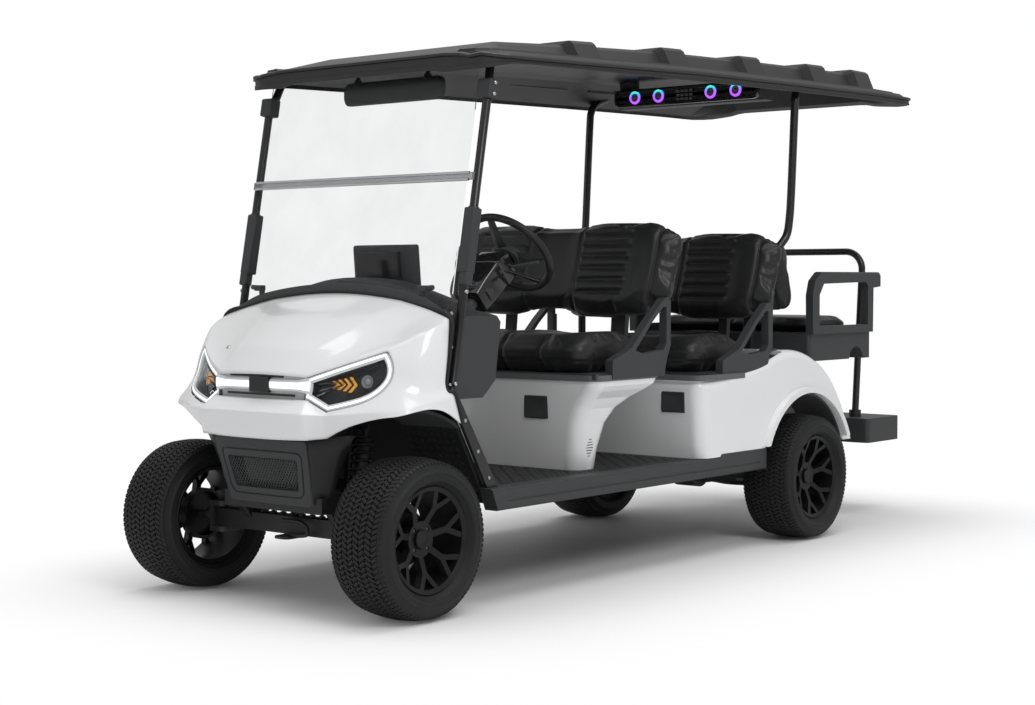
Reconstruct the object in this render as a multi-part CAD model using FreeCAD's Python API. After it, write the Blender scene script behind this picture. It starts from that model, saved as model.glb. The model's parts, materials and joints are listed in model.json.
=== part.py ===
import FreeCAD, Part
import math
import os

# Six-seat golf cart with a rear-facing third seat. Millimetres, +X forward, +Y to the
# cart's left, +Z up. The origin is on the ground under the middle of the cart.
# A station is a distance behind the front axle.

# Wheels and axles
tyre_diameter = 558.8
tyre_width = 250.0
rim_diameter = 373.0
rim_width = 206.0
wheelbase = 2551.0
front_wheel_y = 544.0
rear_wheel_y = 570.0
spoke_count = 7
kingpin_y = 400.0
spindle_radius = 12.5
running_clearance = 0.05

# Overall
overall_length = 4090.0
static_gap = 0.3
moving_gap = 5.0

# Chassis
rail_y = 200.0
rail_width = 50.0
rail_bottom = 345.0
rail_height = 58.0
frame_front = -125.0
floor_thickness = 16.0
sill_outer_y = 620.0
sill_width = 62.0
sill_bottom = 338.0
sill_top = 416.0
sill_front = 353.0
sill_rear = wheelbase - 336
sill_step_station = 1853.0
sill_step = 18.0

# Front cowl
body_half_width = 618.0
shell_thickness = 14.0
front_arch_radius = 440.0
cowl_rear = 170.0

# Windshield and front posts
post_radius = 16.0
post_y = 562.0
post_foot = (200.0, 760.0)
post_top = (397.0, 1800.0)
glass_thickness = 5.0
glass_half_width = 532.0
glass_split = 1528.0

# Roof
roof_half_width = 630.0

# Seats
seat_pitch = 785.0
seat_drop = 28.0
cushion_half_width = 545.0
cushion_front = 950.0
cushion_rear = 1440.0
cushion_bottom = 800.0
cushion_top = 945.0
backrest_half_width = 585.0
tray_thickness = 22.0
backrest_height = 372.0
backrest_lean = 118.0
backrest_thickness = 102.0
restraint_inner = 576.0
restraint_outer = 612.0

# Rear-facing seat
rear_seat_half_width = 440.0
rear_tray_half_width = 500.0
rear_tray_front = 2790.0
rear_tray_rear = 3385.0
rear_tray_top = 908.0
rear_tray_bottom = 782.0

# Rear step and grab hoop
step_length = 331.0
step_half_width = 440.0
step_top = 470.0
step_bottom = 350.0
hoop_inset = 211.0
hoop_half_width = 340.0
hoop_foot_y = 302.0
hoop_top = 1320.0
hoop_radius = 17.0

# Steering wheel
wheel_station = 850.0
wheel_y = 290.0
wheel_z = 1265.0
wheel_ring_radius = 178.0
wheel_rim_radius = 14.0
wheel_tilt = 41.0

tyre_radius = tyre_diameter / 2
rim_radius = rim_diameter / 2
axle_z = tyre_radius
front_axle_x = overall_length / 2 - tyre_radius
floor_z = rail_bottom + rail_height
floor_top = floor_z + floor_thickness
step_rear = overall_length - tyre_radius
step_front = step_rear - step_length
hoop_station = step_rear - hoop_inset

V = FreeCAD.Vector
X = V(1, 0, 0)
Y = V(0, 1, 0)
Z = V(0, 0, 1)


def x_at(station):
    return front_axle_x - station


def save(name, shape):
    """Writes one node and hands its shape on to what fits against it."""
    shape.exportStep("parts/" + name + ".step")
    return shape


def block(station0, station1, y0, y1, z0, z1):
    """A box between two stations."""
    low = V(x_at(max(station0, station1)), min(y0, y1), min(z0, z1))
    return Part.makeBox(abs(station1 - station0), abs(y1 - y0), abs(z1 - z0), low)


def cylinder(start, end, radius):
    """A round bar between two points."""
    axis = end - start
    return Part.makeCylinder(radius, axis.Length, start, axis)


def side_prism(points, y0, y1):
    """Extrudes a side outline of (station, z) points across the cart."""
    corners = [V(x_at(s), y0, z) for s, z in points]
    face = Part.Face(Part.makePolygon(corners + corners[:1]))
    return face.extrude(V(0, y1 - y0, 0))


def plan_prism(points, z0, z1):
    """Extrudes a plan outline of (station, y) points upwards."""
    corners = [V(x_at(s), y, z0) for s, y in points]
    face = Part.Face(Part.makePolygon(corners + corners[:1]))
    return face.extrude(V(0, 0, z1 - z0))


def front_prism(points, station0, station1):
    """Extrudes a front outline of (y, z) points along the cart."""
    corners = [V(x_at(station0), y, z) for y, z in points]
    face = Part.Face(Part.makePolygon(corners + corners[:1]))
    return face.extrude(V(station0 - station1, 0, 0))


def mirrored(shape):
    return shape.mirror(V(0, 0, 0), Y)


def pair(shape):
    """The shape on the left side with its mirror image on the right."""
    return Part.makeCompound([shape, mirrored(shape)])


def join(shapes):
    result = shapes[0].multiFuse(shapes[1:]) if len(shapes) > 1 else shapes[0]
    return result.removeSplitter()


def bent_tube(points, radius, bend):
    """A round tube along straight runs joined by tangent arcs."""
    edges = []
    last = points[0]
    for before, corner, after in zip(points, points[1:], points[2:]):
        into = (corner - before).normalize()
        out = (after - corner).normalize()
        turn = into.getAngle(out)
        setback = bend * math.tan(turn / 2)
        start = corner - into * setback
        end = corner + out * setback
        middle_way = (out - into).normalize()
        middle = corner + middle_way * (bend / math.cos(turn / 2) - bend)
        edges.append(Part.LineSegment(last, start).toShape())
        edges.append(Part.Arc(start, middle, end).toShape())
        last = end
    edges.append(Part.LineSegment(last, points[-1]).toShape())
    path = Part.Wire(edges)
    direction = points[1] - points[0]
    ring = Part.Wire(Part.makeCircle(radius, points[0], direction))
    return path.makePipeShell([ring], True, True)


def rounded(shape, radius, wanted):
    """Fillets the edges whose midpoint passes the test."""
    edges = [e for e in shape.Edges if wanted(e.CenterOfMass, e)]
    return shape.makeFillet(radius, edges) if edges else shape


def along(edge, axis):
    """True for a straight edge that runs along the axis."""
    if len(edge.Vertexes) != 2:
        return False
    run = edge.Vertexes[1].Point - edge.Vertexes[0].Point
    return run.Length > 1e-6 and abs(run.normalize().dot(axis)) > 0.999


def revolve_y(points, centre):
    """Revolves (radius, y) points about a wheel's own axis through the centre."""
    corners = [centre + V(0, y, r) for r, y in points]
    face = Part.Face(Part.makePolygon(corners + corners[:1]))
    return face.revolve(centre, Y, 360)


# Wheels

def wheel_centre(station, y):
    return V(x_at(station), y, axle_z)


def tyre(centre):
    """Low-profile tyre with rounded shoulders and a bulging sidewall."""
    half = tyre_width / 2
    bead = rim_width / 2 - 12
    bore = rim_radius - 10
    heel = rim_radius + static_gap
    tread = tyre_radius
    shoulder = tyre_radius - 9

    def point(radius, across):
        return centre + V(0, across, radius)

    def arc(a, b, c):
        return Part.Arc(point(*a), point(*b), point(*c)).toShape()

    def line(a, b):
        return Part.LineSegment(point(*a), point(*b)).toShape()

    edges = [
        line((bore, -bead), (bore, bead)),
        line((bore, bead), (heel, bead)),
        arc((heel, bead), (heel + 26, half - 1), (tread - 34, half - 9)),
        arc((tread - 34, half - 9), (shoulder - 4, half - 19), (shoulder, half - 34)),
        arc((shoulder, half - 34), (tread, 0), (shoulder, 34 - half)),
        arc((shoulder, 34 - half), (shoulder - 4, 19 - half), (tread - 34, 9 - half)),
        arc((tread - 34, 9 - half), (heel + 26, 1 - half), (heel, -bead)),
        line((heel, -bead), (bore, -bead)),
    ]
    return Part.Face(Part.Wire(edges)).revolve(centre, Y, 360)


def rim(centre, side, bore):
    """Alloy rim: barrel, recessed hub and dished Y-shaped spokes on the outer side."""
    half = rim_width / 2
    seat = rim_radius - 10 - static_gap
    wall = 8.0
    inside = seat - wall
    lip = rim_radius
    barrel = revolve_y([
        (inside, -half + 8), (lip - 4, -half), (lip, -half + 3), (lip, -half + 11.5),
        (seat, -half + 11.5), (seat, half - 11.5), (lip, half - 11.5), (lip, half - 3),
        (lip - 4, half), (inside, half - 8),
    ], centre)
    hub_radius = 62.0
    hub_face = half - 48
    fork_radius = 112.0
    dish = revolve_y([
        (30, hub_face), (hub_radius, hub_face), (inside + 1, half - 10),
        (inside + 1, half - 34), (hub_radius, hub_face - 30), (30, hub_face - 30),
    ], centre)
    stem = 13.0
    arm = 9.0
    spread = math.radians(13)
    pattern = []
    for index in range(spoke_count):
        angle = 2 * math.pi * (index + 0.25) / spoke_count
        out = V(math.cos(angle), 0, math.sin(angle))
        across = V(-out.z, 0, out.x)
        fork = out * fork_radius
        base = centre + V(0, -half, 0)
        corners = [
            base + across * stem + out * 30, base + across * stem * 0.8 + fork,
            base - across * stem * 0.8 + fork, base - across * stem + out * 30,
        ]
        bars = [Part.Face(Part.makePolygon(corners + corners[:1]))]
        for sign in (1, -1):
            tip_way = out * math.cos(spread) + across * (sign * math.sin(spread))
            tip = tip_way * (inside + 3)
            run = (tip - fork).normalize()
            edge = V(-run.z, 0, run.x) * arm
            root = fork - run * 10
            quad = [base + root + edge, base + tip + edge, base + tip - edge, base + root - edge]
            bars.append(Part.Face(Part.makePolygon(quad + quad[:1])))
        pattern += [bar.extrude(V(0, 2 * half, 0)) for bar in bars]
    spokes = dish.common(join(pattern))
    hub = revolve_y([
        (bore, hub_face - 58), (hub_radius, hub_face - 58), (hub_radius, hub_face),
        (34, hub_face), (34, hub_face + 7), (bore, hub_face + 7),
    ], centre)
    drum = revolve_y([
        (bore, hub_face - 58), (88, hub_face - 58), (96, hub_face - 66),
        (96, hub_face - 100), (84, hub_face - 100), (84, hub_face - 70), (bore, hub_face - 70),
    ], centre)
    body = join([barrel, spokes, hub, drum])
    for index in range(4):
        angle = math.radians(45 + 90 * index)
        bolt = centre + V(46 * math.cos(angle), hub_face - 20, 46 * math.sin(angle))
        body = body.cut(Part.makeCylinder(9, 30, bolt, Y))
    if side < 0:
        body = body.mirror(centre, Y)
    return body


def build_wheels():
    for place, station, y in (("front", 0, front_wheel_y), ("rear", wheelbase, rear_wheel_y)):
        for hand, side in (("left", 1), ("right", -1)):
            centre = wheel_centre(station, side * y)
            save(place + "_tyre_" + hand, tyre(centre))
            save(place + "_rim_" + hand, rim(centre, side, spindle_radius + running_clearance))


# Axles, steering and suspension

beam_half = 30.0
beam_top = axle_z + 32
beam_bottom = axle_z - 33
boss_radius = 24.0
ear_height = 20.0
arm_length = 110.0
arm_inset = 15.0
arm_z0 = beam_bottom - moving_gap - ear_height
tie_rod_radius = 9.0
rack_half = 150.0
tow_tab_thickness = 10.0
tow_hole_radius = 10.0


def build_front_axle():
    """Solid front beam, its eyes for the kingpins and the brackets up to the rails."""
    parts = [block(-beam_half, beam_half, -kingpin_y, kingpin_y, beam_bottom, beam_top)]
    for side in (1, -1):
        eye = V(front_axle_x, side * kingpin_y, beam_bottom)
        parts.append(Part.makeCylinder(boss_radius, beam_top - beam_bottom, eye, Z))
        inner = side * (rail_y + 8)
        outer = side * (rail_y + rail_width - 8)
        parts.append(side_prism([
            (-70, rail_bottom), (-beam_half, beam_top - 20), (beam_half, beam_top - 20),
            (110, rail_bottom),
        ], inner, outer))
    tab = block(-beam_half - 62, 0, -38, 38, beam_bottom - tow_tab_thickness, beam_bottom)
    parts.append(rounded(tab, 26, lambda c, e: along(e, Z) and c.x > front_axle_x + 60))
    body = join(parts)
    hole = V(front_axle_x + beam_half + 34, 0, beam_bottom - tow_tab_thickness - 1)
    body = body.cut(Part.makeCylinder(tow_hole_radius, tow_tab_thickness + 2, hole, Z))
    for side in (1, -1):
        foot = V(front_axle_x, side * kingpin_y, beam_bottom - 1)
        bore = Part.makeCylinder(10 + running_clearance, beam_top - beam_bottom + 2, foot, Z)
        body = body.cut(bore)
    save("front_axle", body)


def build_knuckles():
    """Forked knuckles with kingpin, spindle and steering arm."""
    low0 = beam_bottom - moving_gap - ear_height
    low1 = beam_bottom - moving_gap
    high0 = beam_top + moving_gap
    high1 = high0 + ear_height
    web0 = kingpin_y + boss_radius + moving_gap
    web1 = web0 + 18
    pin = V(front_axle_x, kingpin_y, 0)
    arm_y = kingpin_y - arm_inset
    parts = [
        Part.makeCylinder(boss_radius, ear_height, pin + Z * low0, Z),
        Part.makeCylinder(boss_radius, ear_height, pin + Z * high0, Z),
        block(-boss_radius, boss_radius, kingpin_y, web1, low0, low1),
        block(-boss_radius, boss_radius, kingpin_y, web1, high0, high1),
        block(-boss_radius, boss_radius, web0, web1, low0, high1),
        Part.makeCylinder(10, high1 - low0, pin + Z * low0, Z),
        Part.makeCylinder(26, 26, V(front_axle_x, web1, axle_z), Y),
        Part.makeCylinder(spindle_radius, front_wheel_y + rim_width / 2 - 48 - web1,
                          V(front_axle_x, web1, axle_z), Y),
        plan_prism([
            (0, kingpin_y + 20), (arm_length, arm_y + 14), (arm_length + 15, arm_y),
            (arm_length, arm_y - 14), (0, kingpin_y - 20),
        ], low0, low0 + 14),
    ]
    left = join(parts)
    save("knuckle_left", left)
    save("knuckle_right", mirrored(left))


def build_tie_rod():
    """Steering rack with its two arms' eyes, and the gear housing it slides in."""
    eye_half = tie_rod_radius + 2
    z = arm_z0 + 14 + 0.5 + eye_half
    x = x_at(arm_length)
    reach = kingpin_y - arm_inset
    ends = []
    for side in (1, -1):
        ends.append(Part.makeCylinder(15, 2 * eye_half, V(x, side * reach, z - eye_half), Z))
    rod = cylinder(V(x, -reach, z), V(x, reach, z), tie_rod_radius)
    save("tie_rod", join([rod] + ends))
    housing = cylinder(V(x, -rack_half, z), V(x, rack_half, z), 22)
    legs = [block(arm_length - 16, arm_length + 16, side * 110 - 10, side * 110 + 10, z,
                  rail_bottom) for side in (1, -1)]
    bore = cylinder(V(x, -rack_half - 1, z), V(x, rack_half + 1, z),
                    tie_rod_radius + running_clearance)
    save("steering_gear", join([housing] + legs).cut(bore))


def coil(centre, top, radius):
    """A damper body with a plain sleeve that stands for its spring."""
    way = (top - centre).normalize()
    spring_start = centre + way * 60
    spring_end = top - way * 40
    return join([
        cylinder(centre, top, 12), cylinder(spring_start, spring_end, radius),
    ])


def build_front_suspension():
    spring_y = 290.0
    lower = V(x_at(-8), spring_y, beam_top - 6)
    upper = V(x_at(70), spring_y - 15, 640)
    leg = coil(lower, upper, 30)
    tower = side_prism([(20, rail_bottom + rail_height), (110, rail_bottom + rail_height),
                        (95, 660), (45, 660)], rail_y + 10, rail_y + rail_width - 12)
    pin = cylinder(V(x_at(70), rail_y + 20, 640), V(x_at(70), spring_y, 640), 10)
    beam = block(-beam_half, beam_half, 0, kingpin_y, beam_bottom, beam_top)
    save("front_suspension", pair(join([leg, tower, pin]).cut(beam)))


motor_offset = 175.0


def build_rear_axle():
    """Rear axle tube, gear case and drive motor."""
    hub_inner = rear_wheel_y + rim_width / 2 - 48 - 100
    centre = V(x_at(wheelbase), 0, axle_z)
    tube = cylinder(centre - Y * (hub_inner - 6), centre + Y * (hub_inner - 6), 36)
    tip = rear_wheel_y + rim_width / 2 - 48
    shaft = cylinder(centre - Y * tip, centre + Y * tip, spindle_radius)
    case = cylinder(centre - Y * 60, centre + Y * 60, 88)
    behind = V(-motor_offset, 0, 0)
    reducer = block(wheelbase, wheelbase + motor_offset, -60, 60, axle_z - 60, axle_z + 62)
    motor = cylinder(centre + behind - Y * 70, centre + behind + Y * 185, 84)
    save("rear_axle", join([tube, shaft, case, reducer, motor]))


def build_rear_suspension():
    """Leaf spring with shackle, hanger and damper on each side."""
    y0 = 335.0
    y1 = 390.0
    top = axle_z - 36
    spring = side_prism([
        (2130, top + 52), (2330, top + 16), (wheelbase - 60, top), (wheelbase + 60, top),
        (2800, top + 20), (2985, top + 70), (2985, top + 54), (2800, top + 2),
        (wheelbase + 60, top - 20), (wheelbase - 60, top - 20), (2330, top - 2), (2130, top + 36),
    ], y0, y1)
    hanger = side_prism([
        (2080, rail_bottom + rail_height), (2190, rail_bottom + rail_height),
        (2160, top + 30), (2105, top + 30)], y0, y1)
    shackle = side_prism([
        (2950, rail_bottom + rail_height), (3020, rail_bottom + rail_height),
        (3005, top + 45), (2965, top + 45)], y0, y1)
    arm = block(2080, 2190, rail_y + rail_width, y0, rail_bottom + 20, rail_bottom + rail_height)
    arm_rear = block(2950, 3020, rail_y + rail_width, y0, rail_bottom + 20,
                     rail_bottom + rail_height)
    leg = join([spring, hanger, shackle, arm, arm_rear])
    save("rear_suspension", pair(leg))


# Frame, floor and sills

def build_frame():
    """Two box rails with cross members, outriggers and the rear extension for the step."""
    rear_end = step_rear - 40
    top = rail_bottom + rail_height
    parts = []
    for side in (1, -1):
        parts.append(block(frame_front, rear_end, side * rail_y, side * (rail_y + rail_width),
                           rail_bottom, top))
    for station in (frame_front + 25, arm_length, 420, 1040, 1640, wheelbase - 321, wheelbase + 459,
                    step_front + 60):
        parts.append(block(station - 25, station + 25, -rail_y, rail_y, rail_bottom, top))
    for station in (450, 1060, 1640):
        for side in (1, -1):
            parts.append(block(station - 25, station + 25, side * (rail_y + rail_width),
                               side * (sill_outer_y - sill_width), rail_bottom + 10, top))
    save("frame", join(parts))


def build_floor():
    """Flat deck with a sloping toe board in front."""
    half = sill_outer_y - sill_width
    deck = side_prism([
        (380, floor_z), (2235, floor_z), (2235, floor_top), (384, floor_top),
        (215, 705), (200, 700), (365, floor_z + 4),
    ], -half, half)
    return save("floor", deck)


def build_sills():
    """Moulded rocker panels with a slanted nose and a raised rear length."""
    outline = [
        (sill_front + 35, sill_bottom), (sill_rear, sill_bottom),
        (sill_rear, sill_top + sill_step), (sill_step_station + 8, sill_top + sill_step),
        (sill_step_station - 8, sill_top), (sill_front, sill_top + 4),
    ]
    inner = sill_outer_y - sill_width
    solid = side_prism(outline, inner, sill_outer_y)
    solid = rounded(solid, 9, lambda c, e: along(e, X) and c.y > sill_outer_y - 1)
    groove = block(sill_front + 90, sill_rear - 60, sill_outer_y - 3, sill_outer_y + 1,
                   sill_bottom + 30, sill_bottom + 38)
    return save("sills", pair(solid.cut(groove)))


# Front cowl

nose_ribs = (
    # y, bumper foot, bumper bulge, ledge under the light bar, hood lip, hood break, hood rear
    (0, (-178, 622), (-250, 690), (-190, 762), (-200, 812), (-128, 918), (200, 1115)),
    (body_half_width - 418,
     (-172, 620), (-236, 690), (-182, 762), (-190, 812), (-120, 912), (198, 1106)),
    (body_half_width - 298,
     (-152, 628), (-212, 696), (-160, 764), (-166, 812), (-100, 900), (194, 1090)),
    (body_half_width - 188,
     (-150, 672), (-178, 722), (-128, 770), (-128, 820), (-70, 898), (190, 1068)),
    (body_half_width - 98,
     (-150, 694), (-146, 734), (-80, 782), (-76, 832), (-24, 906), (189, 1050)),
    (body_half_width - 28,
     (-110, 704), (-96, 744), (-26, 800), (-20, 850), (24, 910), (189, 1028)),
)


def rib_wire(rib, inset):
    """A closed strip that follows a rib's outline at the shell's thickness."""
    y = rib[0]
    outer = [V(x_at(s), y, z) for s, z in rib[1:]]
    inner = []
    for index, point in enumerate(outer):
        before = outer[max(index - 1, 0)]
        after = outer[min(index + 1, len(outer) - 1)]
        run = (after - before).normalize()
        inward = V(-run.z, 0, run.x)
        inner.append(point + inward * inset)
    corners = outer + inner[::-1]
    return Part.makePolygon(corners + corners[:1])


def cowl_skin(inset):
    """The left half of the nose and hood, lofted across its ribs."""
    return Part.makeLoft([rib_wire(rib, inset) for rib in nose_ribs], True, True)


def lamp_prism(grow):
    """Front outline of the lamp on the left corner of the nose."""
    return front_prism([
        (228 - grow, 806), (311, 712 - grow), (473, 752 - grow), (560 + grow, 790),
        (560 + grow, 905), (505, 918 + grow), (440, 862 + grow), (330, 838 + grow),
    ], -400, 60)


def side_panel():
    """Outer side of the front wing between the arch and the hood."""
    inner = body_half_width - 30
    skin = side_prism([
        (-110, 704), (-96, 744), (-26, 800), (-20, 850), (24, 910), (189, 1028),
        (178, 960), (cowl_rear - 20, 790), (222, 668), (140, 640), (-40, 660),
    ], inner, body_half_width)
    return skin


def front_arch(radius):
    centre = V(front_axle_x, 260, axle_z)
    return Part.makeCylinder(radius, 500, centre, Y)


def build_front_cowl():
    skin = cowl_skin(shell_thickness)
    wing = side_panel()
    half = skin.fuse(wing).cut(front_arch(front_arch_radius)).cut(lamp_prism(0))
    shell = join([half, mirrored(half)])
    bar = front_prism([(-212, 766), (212, 766), (206, 800), (-206, 800)], -260, -150)
    return save("front_cowl", shell.cut(bar))


def build_lamps():
    """Head lamps in the corners of the nose, and the light bar between them."""
    deep = 40.0
    slab = cowl_skin(deep).common(lamp_prism(-static_gap))
    save("headlamps", pair(slab))
    bar = front_prism([(-211, 767), (211, 767), (205, 799), (-205, 799)], -185, -150)
    save("light_bar", bar)


grille_top = 612.0
grille_bottom = 389.0
grille_front_top = -188.0
grille_front_bottom = -129.0
grille_thickness = 34.0


def grille_station(z):
    """Station of the leaning grille's front face at a height."""
    share = (z - grille_bottom) / (grille_top - grille_bottom)
    return grille_front_bottom + share * (grille_front_top - grille_front_bottom)


def leaning_slab(z0, z1, setback, thickness, half):
    """A slab parallel to the grille's face, set back from it."""
    return side_prism([
        (grille_station(z0) + setback, z0), (grille_station(z1) + setback, z1),
        (grille_station(z1) + setback + thickness, z1),
        (grille_station(z0) + setback + thickness, z0),
    ], -half, half)


def grille_wing():
    """Side plate that runs out and back from the grille to the wheel arch."""
    def ring(z, inner_y, outer_y, outer_station):
        front = grille_station(z) + 4
        corners = [V(x_at(front), inner_y, z), V(x_at(outer_station), outer_y, z),
                   V(x_at(outer_station + 12), outer_y, z), V(x_at(front + 12), inner_y - 12, z)]
        return Part.makePolygon(corners + corners[:1])

    rows = [ring(floor_z + static_gap, 208, 252, -85), ring(504, 222, 306, -92),
            ring(grille_top, 232, 385, -128)]
    return Part.makeLoft(rows, True, True)


def build_lower_grille(cowl):
    """Charcoal lower grille with slats, and the side wings that run back to the arches."""
    outline = front_prism([
        (-241, grille_top), (241, grille_top), (238, 570), (215, grille_bottom),
        (-215, grille_bottom), (-238, 570),
    ], -260, 0)
    face = leaning_slab(grille_bottom, grille_top, 0, grille_thickness, 260).common(outline)
    opening = front_prism([(-168, 540), (168, 540), (150, 436), (-150, 436)], -300, 0)
    parts = [face.cut(opening)]
    for row in range(4):
        z = 453 + row * 23
        parts.append(leaning_slab(z - 4, z + 4, 10, 20, 175))
    parts.append(leaning_slab(grille_top - 20, grille_top + 40, 18, 16, 225))
    parts += [grille_wing(), mirrored(grille_wing())]
    for side in (1, -1):
        parts.append(block(-134, -100, side * (rail_y + 6), side * (rail_y + rail_width - 6),
                           floor_z, floor_z + 40))
    member = block(frame_front - static_gap, 0, -300, 300, rail_bottom, floor_z + static_gap)
    save("lower_grille", join(parts).cut(cowl).cut(member))


# Dashboard, column and controls

def hood_arch(clear, top):
    """Front outline above the hood's rear edge, with a clearance."""
    ribs = [(rib[0], rib[6][1] + clear) for rib in nose_ribs]
    line = [(-y, z) for y, z in ribs[::-1]] + ribs[1:]
    last = line[-1]
    line = [(-700, last[1])] + line + [(700, last[1])]
    return front_prism(line + [(700, top), (-700, top)], 0, 600)


def build_dashboard(cowl):
    """Moulded dash with open cubbies on both sides of the column."""
    half = post_y - post_radius - 6
    body = side_prism([
        (cowl_rear + 18, 1082), (330, 1092), (440, 1075), (500, 1010), (470, 800),
        (400, 740), (232, 740), (cowl_rear + 18, 1000),
    ], -half, half)
    body = body.cut(hood_arch(-12, 1300))
    for y0, y1 in ((-500, -270), (-230, -10), (400, 520)):
        body = body.cut(block(330, 600, y0, y1, 850, 990))
    return save("dashboard", body.cut(cowl))


def build_display(dash):
    """Touch screen on a stalk above the dash."""
    half_width = 163.0
    screen = Part.makeBox(28, 2 * half_width, 176, V(-14, -half_width, 0))
    screen = rounded(screen, 8, lambda c, e: along(e, X))
    tilt = FreeCAD.Placement(V(x_at(462), 0, 1118), FreeCAD.Rotation(Y, -14))
    screen = screen.transformGeometry(tilt.toMatrix())
    foot = block(400, 450, -40, 40, 1040, 1125)
    save("display", join([screen, foot.cut(dash)]))


def wheel_axis():
    angle = math.radians(wheel_tilt)
    return V(-math.cos(angle), 0, math.sin(angle))


def build_steering_wheel():
    """Three-spoke steering wheel on its shaft."""
    centre = V(x_at(wheel_station), wheel_y, wheel_z)
    axis = wheel_axis()
    ring = Part.makeTorus(wheel_ring_radius, wheel_rim_radius, centre, axis)
    hub = Part.makeCylinder(48, 34, centre - axis * 30, axis)
    up = V(math.sin(math.radians(wheel_tilt)), 0, math.cos(math.radians(wheel_tilt)))
    spokes = []
    for angle in (90, 210, 330):
        turn = FreeCAD.Rotation(axis, angle + 90)
        way = turn.multVec(up)
        spokes.append(cylinder(centre - axis * 14, centre + way * wheel_ring_radius, 11))
    shaft = cylinder(centre - axis * 120, centre - axis * 20, spindle_radius)
    save("steering_wheel", join([ring, hub, shaft] + spokes))


def build_steering_column(dash):
    """Fixed column tube with its shroud and the stalk."""
    centre = V(x_at(wheel_station), wheel_y, wheel_z)
    axis = wheel_axis()
    top = centre - axis * (30 + moving_gap)
    foot = centre - axis * 540
    tube = cylinder(foot, top, 24)
    shroud = Part.makeCone(62, 46, 200, centre - axis * 250, axis)
    stalk = cylinder(centre - axis * 100, centre - axis * 70 + V(-10, 180, 10), 6)
    bore = cylinder(centre - axis * 121, centre, spindle_radius + running_clearance)
    column = join([tube, shroud, stalk]).cut(bore)
    save("steering_column", column.cut(dash))


def build_pedals(dash):
    """Brake and drive pedals hung at the toe board."""
    parts = []
    for y, width in ((150, 90), (290, 110)):
        pad = side_prism([(430, 480), (444, 484), (372, 640), (358, 636)],
                         y - width / 2, y + width / 2)
        arm = side_prism([(360, 590), (386, 596), (300, 760), (276, 748)], y - 12, y + 12)
        parts.append(join([pad, arm]))
    save("pedals", Part.makeCompound(parts).cut(dash))


# Windshield and posts

def post_station(z):
    """Station of the front posts' centre line at a height."""
    share = (z - post_foot[1]) / (post_top[1] - post_foot[1])
    return post_foot[0] + share * (post_top[0] - post_foot[0])


def build_windshield(posts):
    """Two clear panes in front of the posts, with the hinge strip between them."""
    ahead = post_radius + 4
    panes = []
    for z0, z1 in ((1035, glass_split - 14), (glass_split + 14, 1925)):
        pane = side_prism([
            (post_station(z0) - ahead, z0), (post_station(z0) - ahead - glass_thickness, z0),
            (post_station(z1) - ahead - glass_thickness, z1), (post_station(z1) - ahead, z1),
        ], -glass_half_width, glass_half_width)
        panes.append(pane)
    panes[0] = panes[0].common(hood_arch(static_gap + 4, 1600))
    save("windshield", Part.makeCompound(panes))
    z0 = glass_split - 13.7
    z1 = glass_split + 13.7
    strip = side_prism([
        (post_station(z0) - ahead + 4, z0), (post_station(z0) - ahead - 10, z0),
        (post_station(z1) - ahead - 10, z1), (post_station(z1) - ahead + 4, z1),
    ], -post_y, post_y)
    save("windshield_hinge", strip.cut(posts))


def build_front_posts(roof):
    """Leaning tubes with their sleeves, and the flat struts down to the sills."""
    foot = V(x_at(post_foot[0]), post_y, post_foot[1])
    knee = V(x_at(post_top[0]), post_y, post_top[1])
    head = V(x_at(post_top[0] + 60), post_y - 30, 1962)
    tube = bent_tube([foot, knee, head], post_radius, 60)
    way = (knee - foot).normalize()
    sleeve = cylinder(foot + way * 425, foot + way * 670, post_radius + 4)
    strut = side_prism([
        (163, 780), (206, 770), (430, sill_top + 4), (370, sill_top + 4),
    ], post_y + 8, post_y + 22)
    return save("front_posts", pair(join([tube, sleeve, strut]).cut(roof)))


def build_rear_posts(roof, body):
    """Roof posts behind the second seat, bent forward at the foot and back at the head."""
    points = [
        V(x_at(2395), 520, rear_deck_z), V(x_at(2410), 530, 1080), V(x_at(2495), 570, 1340),
        V(x_at(2495), 570, 1880), V(x_at(2628), 547, 2046),
    ]
    tube = bent_tube(points, 20, 70)
    foot = Part.makeCylinder(42, 8, points[0], Z)
    save("rear_posts", pair(join([tube, foot]).cut(roof).cut(body)))


# Roof

roof_line = (
    # station, underside at the edge, top at the edge, raised centre
    (360, 1938, 1969, 1978),
    (600, 1950, 1979, 2038),
    (980, 1962, 1994, 2066),
    (1670, 1982, 2023, 2106),
    (2470, 2004, 2043, 2136),
    (3220, 2021, 2060, 2158),
    (3440, 2024, 2060, 2158),
    (3530, 2026, 2056, 2076),
)
roof_front = roof_line[0][0]
roof_rear = roof_line[-1][0]
crown_half_width = 440.0
roof_skin = 30.0
roof_ribs = (1000.0, 1620.0, 2220.0, 2800.0, 3230.0)
rib_length = 160.0
rib_rise = 14.0
rib_reach = 34.0
rib_edge = 14.0


def roof_at(station):
    """Heights of the roof's edge and centre at a station."""
    for low, high in zip(roof_line, roof_line[1:]):
        if station <= high[0]:
            share = (station - low[0]) / (high[0] - low[0])
            return [a + share * (b - a) for a, b in zip(low[1:], high[1:])]
    return list(roof_line[-1][1:])


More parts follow.
